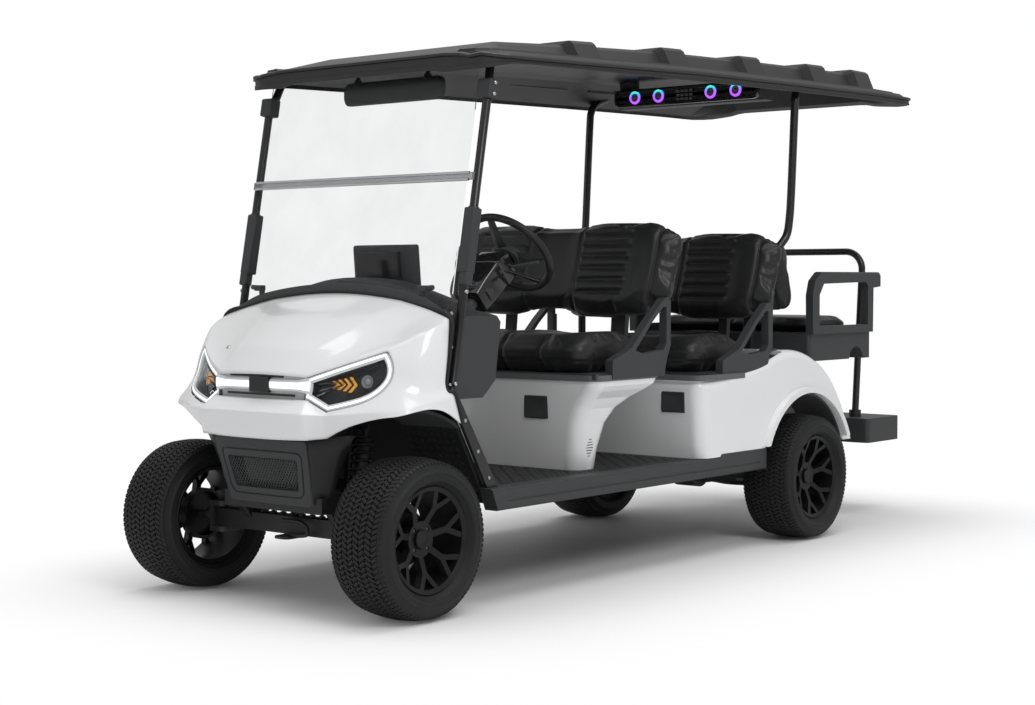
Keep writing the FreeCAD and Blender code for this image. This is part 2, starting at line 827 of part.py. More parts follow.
def roof_rib(station, narrower, raised):
    """Cross outline of the roof: stepped rim and raised centre, hollow below."""
    under, edge, crown = roof_at(station)
    half = roof_half_width - narrower
    shoulder = crown_half_width + (rib_reach if raised else 0)
    crown += rib_rise if raised else 0
    outer = [(half, under), (half, edge - 12), (half - 12, edge), (half - 48, edge + 3),
             (half - 54, edge + 13), (shoulder + 36, edge + 15), (shoulder, crown - 12),
             (shoulder - 16, crown)]
    outer = [(-y, z) for y, z in outer] + outer[::-1]
    sag = max(crown - (rib_rise if raised else 0) - roof_skin, under + 6)
    inner = [(half - 30, under), (crown_half_width - 20, sag - 12),
             (crown_half_width - 80, sag), (80 - crown_half_width, sag),
             (20 - crown_half_width, sag - 12), (30 - half, under)]
    corners = [V(x_at(station), y, z) for y, z in outer + inner]
    return Part.makePolygon(corners + corners[:1])


def build_roof():
    """Canopy with rounded corners and cross ribs that step out of its raised centre."""
    rows = [(roof_front - 6, 96, False), (roof_front + 6, 44, False),
            (roof_front + 44, 10, False), (roof_front + 110, 0, False), (600, 0, False)]
    for front in roof_ribs:
        rows += [(front, 0, False), (front + rib_edge, 0, True),
                 (front + rib_length, 0, True), (front + rib_length + rib_edge, 0, False)]
    rows += [(roof_rear - 90, 0, False), (roof_rear - 28, 16, False), (roof_rear, 70, False)]
    shell = Part.makeLoft([roof_rib(*row) for row in rows], True, True)
    return save("roof", shell)


def build_speaker_console(roof):
    """Overhead console with four round speakers that faces forward."""
    body = side_prism([
        (2500, 2010), (2540, 1978), (2620, 1978), (2640, 2000), (2640, 2066), (2500, 2066),
    ], 35 - crown_half_width, crown_half_width - 35)
    for y in (-330, -200, 200, 330):
        body = body.cut(cylinder(V(x_at(2480), y, 2022), V(x_at(2514), y, 2022), 26))
    arms = [block(2545, 2600, side * (crown_half_width - 110), side * (crown_half_width - 35),
                  2060, 2130).cut(roof)
            for side in (1, -1)]
    save("speaker_console", join([body] + arms))


def build_mirror(roof):
    """Panoramic mirror on two short arms under the roof's front."""
    body = block(500, 526, -262, 262, 1836, 1926)
    body = rounded(body, 10, lambda c, e: along(e, X))
    arms = [block(505, 521, y - 12, y + 12, 1920, 2004).cut(roof) for y in (-180, 180)]
    save("mirror", join([body] + arms))


# Body panels

pod_front = 1000.0
pod_rows = (
    # height, set back of the front, length, half width, corner radius
    (floor_top, 20, 152, 490, 62),
    (500, 16, 168, 497, 62),
    (600, 12, 203, 510, 60),
    (660, 9, 255, 528, 58),
    (700, 6, 324, 553, 56),
    (730, 3, 391, 581, 54),
    (750, 1, 425, 597, 52),
)
hatch_clear = static_gap
front_hatch = (239.0, 355.0, 617.0, 707.0)
rear_hatch = (418.0, 534.0, 608.0, 695.0)
rear_body_front = pod_front + 700.0


def rounded_ring(front, rear, half, z, radius):
    """A level rounded rectangle between two stations."""
    x0 = x_at(rear)
    x1 = x_at(front)
    corners = ((x1 - radius, half - radius, 0), (x0 + radius, half - radius, 90),
               (x0 + radius, radius - half, 180), (x1 - radius, radius - half, 270))
    edges = []
    ends = []
    for x, y, turn in corners:
        points = []
        for step in (0, 45, 90):
            angle = math.radians(turn + step)
            points.append(V(x + radius * math.cos(angle), y + radius * math.sin(angle), z))
        edges.append(Part.Arc(*points).toShape())
        ends.append((points[0], points[2]))
    sides = []
    for index in range(4):
        start = ends[index][1]
        end = ends[(index + 1) % 4][0]
        sides += [edges[index], Part.LineSegment(start, end).toShape()]
    return Part.Wire(sides)


def hatch_panel(face_station, hatch):
    y0, y1, z0, z1 = hatch
    return block(face_station + 9, face_station + 24, y0 + hatch_clear, y1 - hatch_clear,
                 z0 + hatch_clear, z1 - hatch_clear)


def build_front_pod():
    """Seat base of the first row, narrow at the floor and flared under the seat."""
    top = cushion_bottom - static_gap - tray_thickness
    rows = list(pod_rows) + [(top, 0, 434, 602, 50)]

    def ring(row, inset):
        z, back, length, half, radius = row
        front = pod_front + back
        return rounded_ring(front + inset, front + length - inset, half - inset, z,
                            radius - inset)

    outer = Part.makeLoft([ring(row, 0) for row in rows], True, True)
    inner = Part.makeLoft([ring(row, shell_thickness) for row in rows], True, True)
    y0, y1, z0, z1 = front_hatch
    hatch = block(pod_front - 20, pod_front + 30, y0, y1, z0, z1)
    pod = save("front_pod", outer.cut(inner).cut(hatch))
    save("hatches", Part.makeCompound([hatch_panel(pod_front, front_hatch),
                                       hatch_panel(rear_body_front - 2, rear_hatch)]))
    return pod


rear_arch_radius = 375.0
rear_deck_z = 846.0
seat_pocket_rear = 2374.0
rear_top_line = (
    (rear_body_front, 745), (1833, 748), (2020, 773), (2216, 804), (2330, 838),
    (wheelbase - 111, 850), (wheelbase + 9, 834), (wheelbase + 129, 790),
    (wheelbase + 259, 700), (wheelbase + 349, 590), (wheelbase + 409, 490),
    (wheelbase + 449, floor_top),
)
rear_wall = 16.0
rear_corner = 60.0
rear_top_round = 34.0


def rear_solid(half, inset):
    """The rear body's outer or inner form with rounded front corners and top edges."""
    top = []
    for index, (station, z) in enumerate(rear_top_line):
        before = rear_top_line[max(index - 1, 0)]
        after = rear_top_line[min(index + 1, len(rear_top_line) - 1)]
        run = V(after[0] - before[0], 0, after[1] - before[1]).normalize()
        if index == 0:
            top.append((station + inset, z - inset))
        elif index == len(rear_top_line) - 1:
            top.append((station - inset, z))
        else:
            top.append((station + run.z * inset, z - run.x * inset))
    points = [V(x_at(s), -half, z) for s, z in top]
    line = Part.BSplineCurve()
    line.interpolate(points)
    low_front = V(x_at(rear_body_front + 14 + inset), -half, floor_top)
    edges = [line.toShape(), Part.LineSegment(points[-1], low_front).toShape(),
             Part.LineSegment(low_front, points[0]).toShape()]
    solid = Part.Face(Part.Wire(edges)).extrude(V(0, 2 * half, 0))
    solid = rounded(solid, rear_corner - inset, lambda c, e: abs(abs(c.y) - half) < 1
                    and c.x > x_at(rear_body_front + 40) and c.z > floor_top + 20)
    return rounded(solid, rear_top_round - inset, lambda c, e: abs(abs(c.y) - half) < 1
                   and e.Length > 1000 and c.z > floor_top + 20)


def build_rear_body(sills):
    """Second seat base, rear wings and tail in one moulding."""
    half = body_half_width
    centre = V(x_at(wheelbase), 0, axle_z)
    lower = block(rear_body_front, wheelbase + 460, rear_wall - half, half - rear_wall,
                  floor_top - 20, floor_top)
    shell = rear_solid(half, 0).cut(rear_solid(half - rear_wall, rear_wall)).cut(lower)
    arch = Part.makeCylinder(rear_arch_radius, 2 * half + 60, centre - Y * (half + 30), Y)
    shell = shell.cut(arch)
    flare = Part.makeCylinder(rear_arch_radius + 26, 40, centre + Y * (half - 12), Y)
    flare = flare.cut(Part.makeCylinder(rear_arch_radius, 60, centre + Y * (half - 22), Y))
    flare = flare.cut(block(wheelbase - 751, wheelbase + 849, 0, 900, -200, floor_top + 20))
    y0, y1, z0, z1 = rear_hatch
    hatch = block(rear_body_front - 20, rear_body_front + 30, y0, y1, z0, z1)
    body = shell.multiFuse([flare, mirrored(flare)]).cut(hatch)
    tray_bottom = cushion_bottom - seat_drop - static_gap - tray_thickness
    pocket = block(rear_body_front - 20, seat_pocket_rear, -half + rear_wall, half - rear_wall,
                   tray_bottom, 1000)
    return save("rear_body", body.cut(pocket).cut(sills))


liner_front = -60.0


def build_wheel_wells(floor):
    """Dark liners inside the four arches."""
    wells = []
    for station, radius, y0, y1, low in (
            (0, front_arch_radius, 300, post_y + 2, 640),
            (wheelbase, rear_arch_radius, 420, body_half_width - 8, floor_top + 20)):
        centre = V(x_at(station), y0, axle_z)
        ring = Part.makeCylinder(radius, y1 - y0, centre, Y)
        ring = ring.cut(Part.makeCylinder(radius - 10, y1 - y0 + 2, centre - Y, Y))
        ring = ring.cut(block(station - 600, station + 600, 0, 900, -200, low)).cut(floor)
        ring = ring.cut(block(-600, liner_front, 0, 900, 0, 900))
        wells.append(pair(ring))
    save("wheel_wells", Part.makeCompound(wells))


def build_battery():
    """Battery pack low in the second seat's base."""
    save("battery_pack", block(1760, 2120, -330, 330, floor_top, 700))


# Seats

def backrest_outline(station, z):
    """Side outline of a leaning backrest from its lower front corner."""
    top = z + backrest_height
    head = station + backrest_lean
    return [
        (station, z), (head, top), (head + backrest_thickness - 14, top),
        (head + backrest_thickness, top - 30), (station + backrest_thickness, z - 6),
    ]


def build_seat_row(name, shift, drop, carrier):
    """One forward-facing bench: frame, cushion and backrest."""
    bottom = cushion_bottom - drop
    top = cushion_top - drop
    cushion = block(cushion_front + shift, cushion_rear + shift, -cushion_half_width,
                    cushion_half_width, bottom, top)
    cushion = rounded(cushion, 34, lambda c, e: along(e, Z) or c.z > top - 1)
    save(name + "_cushion", cushion)
    back_low = 1030 - drop
    back = side_prism(backrest_outline(1452 + shift, back_low),
                      -backrest_half_width, backrest_half_width)
    back = rounded(back, 22,
                   lambda c, e: c.z > back_low + backrest_height - 26 and along(e, X))
    save(name + "_backrest", back)
    tray_top = bottom - static_gap
    tray_half = restraint_outer - 16
    tray = block(1000 + shift, 1470 + shift, -tray_half, tray_half,
                 tray_top - tray_thickness, tray_top)
    parts = [tray]
    outline = [
        (1090, tray_top - tray_thickness), (1090, 850 - drop), (1215, 893 - drop),
        (1340, 1006 - drop), (1440, 1084 - drop), (1474, 1090 - drop), (1486, 1076 - drop),
        (1486, 900 - drop), (1462, 850 - drop), (1440, tray_top - tray_thickness),
    ]
    outline = [(s + shift, z) for s, z in outline]
    window = [(1240, 884 - drop), (1352, 990 - drop), (1432, 1052 - drop), (1456, 1054 - drop),
              (1456, 905 - drop), (1436, 880 - drop), (1300, 868 - drop)]
    window = [(s + shift, z) for s, z in window]
    for side in (1, -1):
        y0 = side * restraint_inner
        y1 = side * restraint_outer
        panel = side_prism(outline, y0, y1).cut(side_prism(window, y0 - side, y1 + side))
        parts.append(panel)
        bar_y = side * 300
        parts.append(side_prism([
            (1400 + shift, tray_top - tray_thickness), (1580 + shift, tray_top - tray_thickness),
            (1610 + shift, 1040 - drop), (1658 + shift, 1330 - drop), (1645 + shift, 1330 - drop),
            (1580 + shift, 1040 - drop), (1562 + shift, tray_top), (1400 + shift, tray_top),
        ], bar_y - 22, bar_y + 22))
    frame = join(parts).cut(back).cut(carrier)
    save(name + "_seat_frame", frame)


def build_rear_seat():
    """Rear-facing bench: moulded tray, cushion, backrest and arm rests."""
    half = rear_tray_half_width
    tray = block(rear_tray_front, rear_tray_rear, -half, half, rear_tray_bottom, rear_tray_top)
    tray = rounded(tray, 18, lambda c, e: along(e, Z))
    hollow = block(rear_tray_front + 22, rear_tray_rear - 22, -half + 60, half - 60,
                   rear_tray_bottom + 20, rear_tray_top + 1)
    arch = Part.makeCylinder(70, 2 * half + 2, V(x_at(3240), -half - 1, rear_tray_bottom - 12), Y)
    save("rear_seat_tray", tray.cut(hollow).cut(arch))
    cushion = block(2862, 3320, -rear_seat_half_width, rear_seat_half_width,
                    rear_tray_top + static_gap, rear_tray_top + 82)
    cushion = rounded(cushion, 26, lambda c, e: along(e, Z) or c.z > rear_tray_top + 80)
    save("rear_cushion", cushion)
    back = side_prism([(2665, 992), (2600, 1356), (2715, 1362), (2742, 1330), (2832, 1000)],
                      -450, 450)
    back = rounded(back, 22, lambda c, e: c.z > 1340 and along(e, X))
    return save("rear_backrest", back)


def build_rear_back_frame(body, back):
    """Uprights of the rear-facing backrest, and risers from the rails to its tray."""
    parts = []
    for side in (1, -1):
        y = side * 300
        parts.append(side_prism([
            (2560, 800), (2600, 800), (2612, 1000), (2665, 1000), (2620, 1330), (2575, 1330),
            (2575, 1000),
        ], y - 22, y + 22))
    cross = block(2575, 2600, -420, 420, 1100, 1140)
    back_frame = join(parts + [cross]).cut(body).cut(back)
    riser = side_prism([
        (3020, floor_z), (3062, floor_z), (3062, 720), (3330, 764), (3330, rear_tray_bottom),
        (3020, rear_tray_bottom),
    ], rail_y + 6, rail_y + rail_width - 6)
    save("rear_back_frame", Part.makeCompound([back_frame, riser, mirrored(riser)]))


def build_armrests():
    """Moulded loops on both sides of the rear-facing seat."""
    outer = [(2790, rear_tray_top), (2786, 1090), (2808, 1156), (2870, 1198), (3430, 1198),
             (3447, 1180), (3447, 1128), (3375, 1122), (3372, rear_tray_top)]
    opening = [(2850, 945), (2850, 1090), (2890, 1142), (3300, 1150), (3320, 1130), (3320, 945)]
    loop = side_prism(outer, 482, 520).cut(side_prism(opening, 470, 530))
    loop = rounded(loop, 8, lambda c, e: along(e, X) and c.z > 1190)
    save("rear_armrests", pair(loop))


def build_step():
    """Moulded rear foot step, open underneath."""
    tray = block(step_front, step_rear, -step_half_width, step_half_width, step_bottom, step_top)
    tray = rounded(tray, 22, lambda c, e: along(e, Z))
    hollow = block(step_front + 14, step_rear - 14, -step_half_width + 14, step_half_width - 14,
                   step_bottom - 1, step_top - 16)
    step = tray.cut(hollow)
    for side in (1, -1):
        slot = block(step_front - 1, step_front + 20, side * (rail_y - 3),
                     side * (rail_y + rail_width + 3), step_bottom - 1,
                     rail_bottom + rail_height + 3)
        step = step.cut(slot)
    pads = [block(step_front + 20, step_rear - 60, side * (rail_y + 5),
                  side * (rail_y + rail_width - 5), rail_bottom + rail_height, step_top - 16)
            for side in (1, -1)]
    save("rear_step", join([step] + pads))
    feet = []
    for side in (1, -1):
        feet.append(Part.makeCylinder(30, 34, V(x_at(hoop_station), side * hoop_foot_y,
                                                step_top), Z))
    tube = bent_tube([
        V(x_at(hoop_station), -hoop_foot_y, step_top), V(x_at(hoop_station), -hoop_half_width,
                                                        hoop_top - hoop_radius),
        V(x_at(hoop_station), hoop_half_width, hoop_top - hoop_radius),
        V(x_at(hoop_station), hoop_foot_y, step_top),
    ], hoop_radius, 90)
    save("grab_hoop", join([tube] + feet).cut(step))


def main():
    build_wheels()
    build_front_axle()
    build_knuckles()
    build_tie_rod()
    build_front_suspension()
    build_rear_axle()
    build_rear_suspension()
    build_frame()
    floor = build_floor()
    sills = build_sills()
    cowl = build_front_cowl()
    build_lamps()
    build_lower_grille(cowl)
    dash = build_dashboard(cowl)
    build_display(dash)
    build_steering_wheel()
    build_steering_column(dash)
    build_pedals(dash)
    roof = build_roof()
    posts = build_front_posts(roof)
    build_windshield(posts)
    build_speaker_console(roof)
    build_mirror(roof)
    pod = build_front_pod()
    body = build_rear_body(sills)
    build_rear_posts(roof, body)
    build_wheel_wells(floor)
    build_battery()
    build_seat_row("front", 0, 0, pod)
    build_seat_row("middle", seat_pitch, seat_drop, body)
    back = build_rear_seat()
    build_rear_back_frame(body, back)
    build_armrests()
    build_step()


main()
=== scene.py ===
import json
import math

import bmesh
import bpy
from bpy.props import FloatProperty, FloatVectorProperty, IntProperty, PointerProperty
from mathutils import Matrix, Vector
from mathutils.bvhtree import BVHTree


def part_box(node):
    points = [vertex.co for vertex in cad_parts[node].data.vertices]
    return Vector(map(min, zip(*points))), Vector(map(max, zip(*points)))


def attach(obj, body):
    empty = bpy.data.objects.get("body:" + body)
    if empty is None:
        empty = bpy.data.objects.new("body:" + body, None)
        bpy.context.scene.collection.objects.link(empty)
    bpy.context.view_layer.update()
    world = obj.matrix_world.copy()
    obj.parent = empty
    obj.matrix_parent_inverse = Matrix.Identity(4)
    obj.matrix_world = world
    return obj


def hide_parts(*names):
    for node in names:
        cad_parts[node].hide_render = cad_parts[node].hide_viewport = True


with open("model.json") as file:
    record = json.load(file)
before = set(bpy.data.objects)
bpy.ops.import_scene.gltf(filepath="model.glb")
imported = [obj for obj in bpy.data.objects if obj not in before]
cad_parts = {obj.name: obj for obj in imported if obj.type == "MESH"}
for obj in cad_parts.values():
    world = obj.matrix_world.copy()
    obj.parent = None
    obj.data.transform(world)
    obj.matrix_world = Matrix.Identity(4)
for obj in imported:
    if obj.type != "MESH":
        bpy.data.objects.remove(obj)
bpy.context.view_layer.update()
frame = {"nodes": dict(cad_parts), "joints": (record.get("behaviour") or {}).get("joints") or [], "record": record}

bl_info = {
    "name": "Golf cart",
    "version": (1, 0, 0),
    "blender": (4, 5, 0),
    "location": "View3D > Sidebar > Golf cart",
    "description": "Builds the finished look of a six-seat golf cart around its packed frame",
    "category": "Object",
}


def joint(name):
    return next(entry for entry in frame["joints"] if entry["name"] == name)


FRONT_AXLE = joint("front_wheel_left_spin")["pos_m"][0]
AHEAD = Vector((1, 0, 0))
ACROSS = Vector((0, 1, 0))
UP = Vector((0, 0, 1))
SIDES = (("left", 1), ("right", -1))


def colour_property(name, description, default):
    return FloatVectorProperty(
        name=name, description=description, default=default, size=3, min=0, max=1,
        subtype="COLOR",
    )


def length_property(name, description, default):
    return FloatProperty(
        name=name, description=description, default=default, min=0, subtype="DISTANCE",
        unit="LENGTH",
    )


class CartFinishes(bpy.types.PropertyGroup):
    body: colour_property("Body", "Gloss moulded body panels", (0.83, 0.835, 0.845))
    trim: colour_property("Trim", "Grained charcoal mouldings", (0.040, 0.0415, 0.0435))
    steel: colour_property("Steel", "Powder-coated frame and posts", (0.012, 0.012, 0.013))
    vinyl: colour_property("Vinyl", "Seat covers", (0.016, 0.0165, 0.0172))
    rubber: colour_property("Rubber", "Tyres and mats", (0.013, 0.0138, 0.0144))
    alloy: colour_property("Alloy", "Cast wheels", (0.0095, 0.0098, 0.0104))
    canopy: colour_property("Canopy", "Roof moulding", (0.026, 0.0255, 0.026))
    amber: colour_property("Amber", "Turn signal arrows", (0.95, 0.42, 0.05))


class CartSizes(bpy.types.PropertyGroup):
    skin: length_property("Skin", "Wall of the moulded body skins", 0.005)
    soft_edge: length_property("Soft edge", "Rounding of the frame's edges", 0.0022)
    moulded_edge: length_property("Moulded edge", "Rounding of the thick mouldings", 0.0065)
    halo: length_property("Halo", "Width of the lamp's lit band", 0.026)
    tread: length_property("Tread", "Depth of the tread grooves", 0.0075)
    channel: length_property("Channel", "Depth of the sewn seat channels", 0.009)
    voxel: length_property("Voxel", "Mesh size of the padded covers", 0.007)
    frames: IntProperty(name="Frames", description="Steps of the cover simulation", default=20)


def finishes():
    return bpy.context.scene.cart_finishes


def sizes():
    return bpy.context.scene.cart_sizes


# Places and meshes

def place(ahead, across, height):
    """A point given by its distance ahead of the front axle."""
    return Vector((FRONT_AXLE + ahead, across, height))


def add_object(name, data):
    obj = bpy.data.objects.new(name, data)
    bpy.context.scene.collection.objects.link(obj)
    return obj


def mesh_piece(name, points, faces, finish, angle=35):
    """A mesh piece with smooth faces and sharp edges above an angle."""
    mesh = bpy.data.meshes.new(name)
    mesh.from_pydata([tuple(p) for p in points], [], faces)
    mesh.validate()
    mesh.materials.append(bpy.data.materials[finish])
    shade(mesh, angle)
    return add_object(name, mesh)


def bmesh_piece(name, bm, finish, angle=35):
    mesh = bpy.data.meshes.new(name)
    bmesh.ops.recalc_face_normals(bm, faces=bm.faces)
    bm.to_mesh(mesh)
    bm.free()
    mesh.materials.append(bpy.data.materials[finish])
    shade(mesh, angle)
    return add_object(name, mesh)


def shade(mesh, angle):
    mesh.shade_smooth()
    mesh.set_sharp_from_angle(angle=math.radians(angle))


def settle(obj, body, slot, *replaced):
    """Puts a finished piece on its body and hides the solids that it replaces. The slot is not used."""
    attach(obj, body)
    if replaced:
        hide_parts(*replaced)


def modifier(obj, kind, **values):
    made = obj.modifiers.new(kind.title(), kind)
    for name, value in values.items():
        setattr(made, name, value)
    return made


def apply_modifiers(obj):
    """Replaces the mesh by its evaluated shape, so no modifier is left."""
    depsgraph = bpy.context.evaluated_depsgraph_get()
    mesh = bpy.data.meshes.new_from_object(obj.evaluated_get(depsgraph))
    old = obj.data
    obj.modifiers.clear()
    obj.data = mesh
    bpy.data.meshes.remove(old)


def add_piece(name, bm, finish, slot, *replaced, body="chassis", angle=30, **changes):
    """A finished piece on a body; the changes are modifiers, applied one by one."""
    piece = bmesh_piece(name, bm, finish, angle)
    for kind, values in changes.items():
        modifier(piece, kind, **values)
        apply_modifiers(piece)
    settle(piece, body, slot, *replaced)


def add_ring_piece(name, rings, finish, slot, *replaced, close=True, close_first=False,
                   angle=35, **others):
    bm = bmesh.new()
    add_rings(bm, rings, close, close_first)
    add_piece(name, bm, finish, slot, *replaced, angle=angle, **others)


def add_box(bm, centre, size, turn=None):
    """A box in a growing mesh, turned about its own centre."""
    matrix = Matrix.Translation(centre) @ (turn or Matrix()) @ Matrix.Diagonal((*size, 1))
    bmesh.ops.create_cube(bm, size=1, matrix=matrix)


def add_rod(bm, start, end, radius, end_radius=None, segments=16):
    """A round bar between two points, or a cone where the end's radius differs."""
    run = end - start
    turn = run.to_track_quat("Z", "Y").to_matrix().to_4x4()
    matrix = Matrix.Translation((start + end) / 2) @ turn
    last = radius if end_radius is None else end_radius
    bmesh.ops.create_cone(bm, segments=segments, radius1=radius, radius2=last, depth=run.length,
                          cap_ends=True, matrix=matrix)


def bridge(bm, one, two, closed=True):
    """Faces between two rows that have as many vertices."""
    count = len(one)
    for k in range(count if closed else count - 1):
        after = (k + 1) % count
        bm.faces.new((one[k], one[after], two[after], two[k]))


def add_rings(bm, rings, close_last=True, close_first=False):
    """Joins rings of equal length into a surface."""
    made = [[bm.verts.new(p) for p in ring] for ring in rings]
    for one, two in zip(made, made[1:]):
        bridge(bm, one, two)
    if close_first:
        bm.faces.new(made[0][::-1])
    if close_last:
        bm.faces.new(made[-1])


def frame_along(points, closed=False):
    """Two steady sideways directions for each point of a line."""
    count = len(points)
    frames = []
    side = None
    for index, point in enumerate(points):
        before = points[index - 1] if index or closed else point
        after = points[(index + 1) % count] if index < count - 1 or closed else point
        run = (after - before).normalized()
        if side is None:
            side = run.cross(UP)
            if side.length < 0.1:
                side = run.cross(ACROSS)
        side = (side - run * side.dot(run)).normalized()
        frames.append((side, run.cross(side)))
    return frames


def add_sweep(bm, points, profile, closed=False):
    """Sweeps a closed profile of (side, up) offsets along a line of points."""
    rings = []
    for point, (side, up) in zip(points, frame_along(points, closed)):
        rings.append([bm.verts.new(point + side * a + up * b) for a, b in profile])
    spans = zip(rings, rings[1:] + rings[:1]) if closed else zip(rings, rings[1:])
    for one, two in spans:
        bridge(bm, one, two)
    if not closed:
        bm.faces.new(rings[0][::-1])
        bm.faces.new(rings[-1])
    return rings


def circle_profile(radius, count=10):
    return [
        (radius * math.cos(2 * math.pi * k / count), radius * math.sin(2 * math.pi * k / count))
        for k in range(count)
    ]


def circle_ring(centre, one, two, half_one, half_two, count=32):
    """Points round an ellipse with two directions and its half sizes along them."""
    return [centre + one * (half_one * u) + two * (half_two * v)
            for u, v in circle_profile(1, count)]


def rectangle(left, right, low, high, inset=0.0):
    """Corners of a flat rectangle, drawn in by an inset."""
    return [(left + inset, low + inset), (right - inset, low + inset),
            (right - inset, high - inset), (left + inset, high - inset)]


def smooth_line(points, steps=6, closed=False):
    """A rounded line through the given points."""
    count = len(points)
    line = []
    last = count if closed else count - 1
    for k in range(last):
        a = points[k - 1] if k or closed else points[k]
        b = points[k]
        c = points[(k + 1) % count]
        d = points[(k + 2) % count] if closed or k + 2 < count else c
        for step in range(steps):
            t = step / steps
            line.append(
                0.5 * ((2 * b) + (c - a) * t + (2 * a - 5 * b + 4 * c - d) * t * t
                       + (3 * b - a - 3 * c + d) * t ** 3)
            )
    if not closed:
        line.append(points[-1].copy())
    return line


# Shader groups and finishes

def group_tree(name, inputs, outputs):
    """A shader group with named inputs and outputs, built once."""
    tree = bpy.data.node_groups.new(name, "ShaderNodeTree")
    for label, default in inputs:
        socket = tree.interface.new_socket(label, in_out="INPUT", socket_type="NodeSocketFloat")
        socket.default_value = default
    for label in outputs:
        tree.interface.new_socket(label, in_out="OUTPUT", socket_type="NodeSocketFloat")
    entry = tree.nodes.new("NodeGroupInput")
    return tree, entry.outputs, tree.nodes.new("NodeGroupOutput").inputs


def feed(tree, socket, value):
    """Links a socket to another node's output, or sets it to a value or a colour."""
    if isinstance(value, bpy.types.NodeSocket):
        tree.links.new(value, socket)
    elif isinstance(value, (tuple, list)):
        socket.default_value = (*value, 1)
    else:
        socket.default_value = value


def fill(tree, node, **inputs):
    """Feeds a node's inputs by name, with _ for each space."""
    for label, value in inputs.items():
        feed(tree, node.inputs[label.replace("_", " ")], value)
    return node


def add_node(tree, kind, **inputs):
    return fill(tree, tree.nodes.new(f"ShaderNode{kind}"), **inputs)


def object_place(tree):
    return add_node(tree, "TexCoord").outputs["Object"]


def split_axes(tree, vector):
    return add_node(tree, "SeparateXYZ", Vector=vector).outputs


def math_node(tree, operation, *values, clamp=False):
    node = add_node(tree, "Math")
    node.operation = operation
    node.use_clamp = clamp
    for socket, value in zip(node.inputs, values):
        feed(tree, socket, value)
    return node.outputs[0]


def noise_node(tree, scale, detail=3.0, roughness=0.55, vector=None):
    return add_node(tree, "TexNoise", Scale=scale, Detail=detail, Roughness=roughness,
                    Vector=vector or object_place(tree)).outputs[0]


def blend(tree, factor, first, second, kind="RGBA"):
    """A mix of two colours, or of two values where the kind is FLOAT."""
    node = add_node(tree, "Mix")
    node.data_type = kind
    return fill(tree, node, Factor=factor, A=first, B=second).outputs["Result"]


def build_grain_group():
    """Fine moulded grain: a height, and a slow change of tone."""
    tree, ins, outs = group_tree("Grain", [("Scale", 900), ("Slow scale", 6)], ["Height", "Tone"])
    fine = noise_node(tree, ins["Scale"], 2.0, 0.6)
    cells = add_node(tree, "TexVoronoi", Vector=object_place(tree), Scale=ins["Scale"])
    height = math_node(tree, "MULTIPLY_ADD", cells.outputs["Distance"], 0.5, fine)
    feed(tree, outs["Height"], height)
    feed(tree, outs["Tone"], noise_node(tree, ins["Slow scale"], 4.0))


def build_hide_group():
    """Leather-like pebbles with fine creases between them."""
    tree, ins, outs = group_tree("Hide", [("Scale", 420)], ["Height"])
    spot = object_place(tree)
    cells = add_node(tree, "TexVoronoi", Vector=spot, Scale=ins["Scale"])
    cells.feature = "DISTANCE_TO_EDGE"
    pebble = math_node(tree, "SMOOTH_MIN", cells.outputs["Distance"], 0.22, 0.1)
    coarse = noise_node(tree, 60, 3.0, 0.6, spot)
    feed(tree, outs["Height"], math_node(tree, "MULTIPLY_ADD", coarse, 0.35, pebble))


def build_wear_group():
    """Mask of the edges, broken up by noise."""
    tree, ins, outs = group_tree("Edge wear", [("Width", 0.003), ("Amount", 0.5)], ["Mask"])
    bevel = add_node(tree, "Bevel", Radius=ins["Width"])
    bevel.samples = 4
    dot = add_node(tree, "VectorMath")
    dot.operation = "DOT_PRODUCT"
    feed(tree, dot.inputs[0], bevel.outputs[0])
    feed(tree, dot.inputs[1], add_node(tree, "NewGeometry").outputs["Normal"])
    away = math_node(tree, "SUBTRACT", 1.0, dot.outputs["Value"])
    edge = math_node(tree, "MULTIPLY", away, 6.0, clamp=True)
    noise = noise_node(tree, 140, 4.0, 0.7)
    speckle = math_node(tree, "MULTIPLY_ADD", noise, 2.4, -0.75, clamp=True)
    worn = math_node(tree, "MULTIPLY", edge, speckle)
    feed(tree, outs["Mask"], math_node(tree, "MULTIPLY", worn, ins["Amount"], clamp=True))


def build_dust_group():
    """Mask of dust that settles low down and on what faces up."""
    tree, ins, outs = group_tree("Dust", [("Amount", 0.3), ("Top", 0.5)], ["Mask"])
    geometry = add_node(tree, "NewGeometry").outputs
    share = math_node(tree, "DIVIDE", split_axes(tree, geometry["Position"])["Z"], ins["Top"])
    low = math_node(tree, "SUBTRACT", 1.0, share, clamp=True)
    facing = split_axes(tree, geometry["Normal"])["Z"]
    base = math_node(tree, "ADD", low, math_node(tree, "MULTIPLY", facing, 0.35, clamp=True))
    noise = noise_node(tree, 9, 5.0, 0.65)
    patchy = math_node(tree, "MULTIPLY_ADD", noise, 1.8, -0.35, clamp=True)
    dust = math_node(tree, "MULTIPLY", base, patchy)
    feed(tree, outs["Mask"], math_node(tree, "MULTIPLY", dust, ins["Amount"], clamp=True))


def build_painted_shade_group():
    """Mask of the faces that look down, where the colour carries painted shade."""
    tree, ins, outs = group_tree("Painted underside shade", [("Reach", 3.0)], ["Mask"])
    facing = split_axes(tree, add_node(tree, "NewGeometry").outputs["Normal"])["Z"]
    below = math_node(tree, "SUBTRACT", -0.2, facing)
    feed(tree, outs["Mask"], math_node(tree, "MULTIPLY", below, ins["Reach"], clamp=True))


def use_group(tree, name, **values):
    node = add_node(tree, "Group")
    node.node_tree = bpy.data.node_groups[name]
    return fill(tree, node, **values).outputs


def start_material(name):
    """A new material under the slot's name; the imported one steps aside."""
    packed = bpy.data.materials.get(name)
    if packed:
        packed.name = f"{name}_packed"
    material = bpy.data.materials.new(name)
    material.use_nodes = True
    tree = material.node_tree
    return tree, tree.nodes["Principled BSDF"]


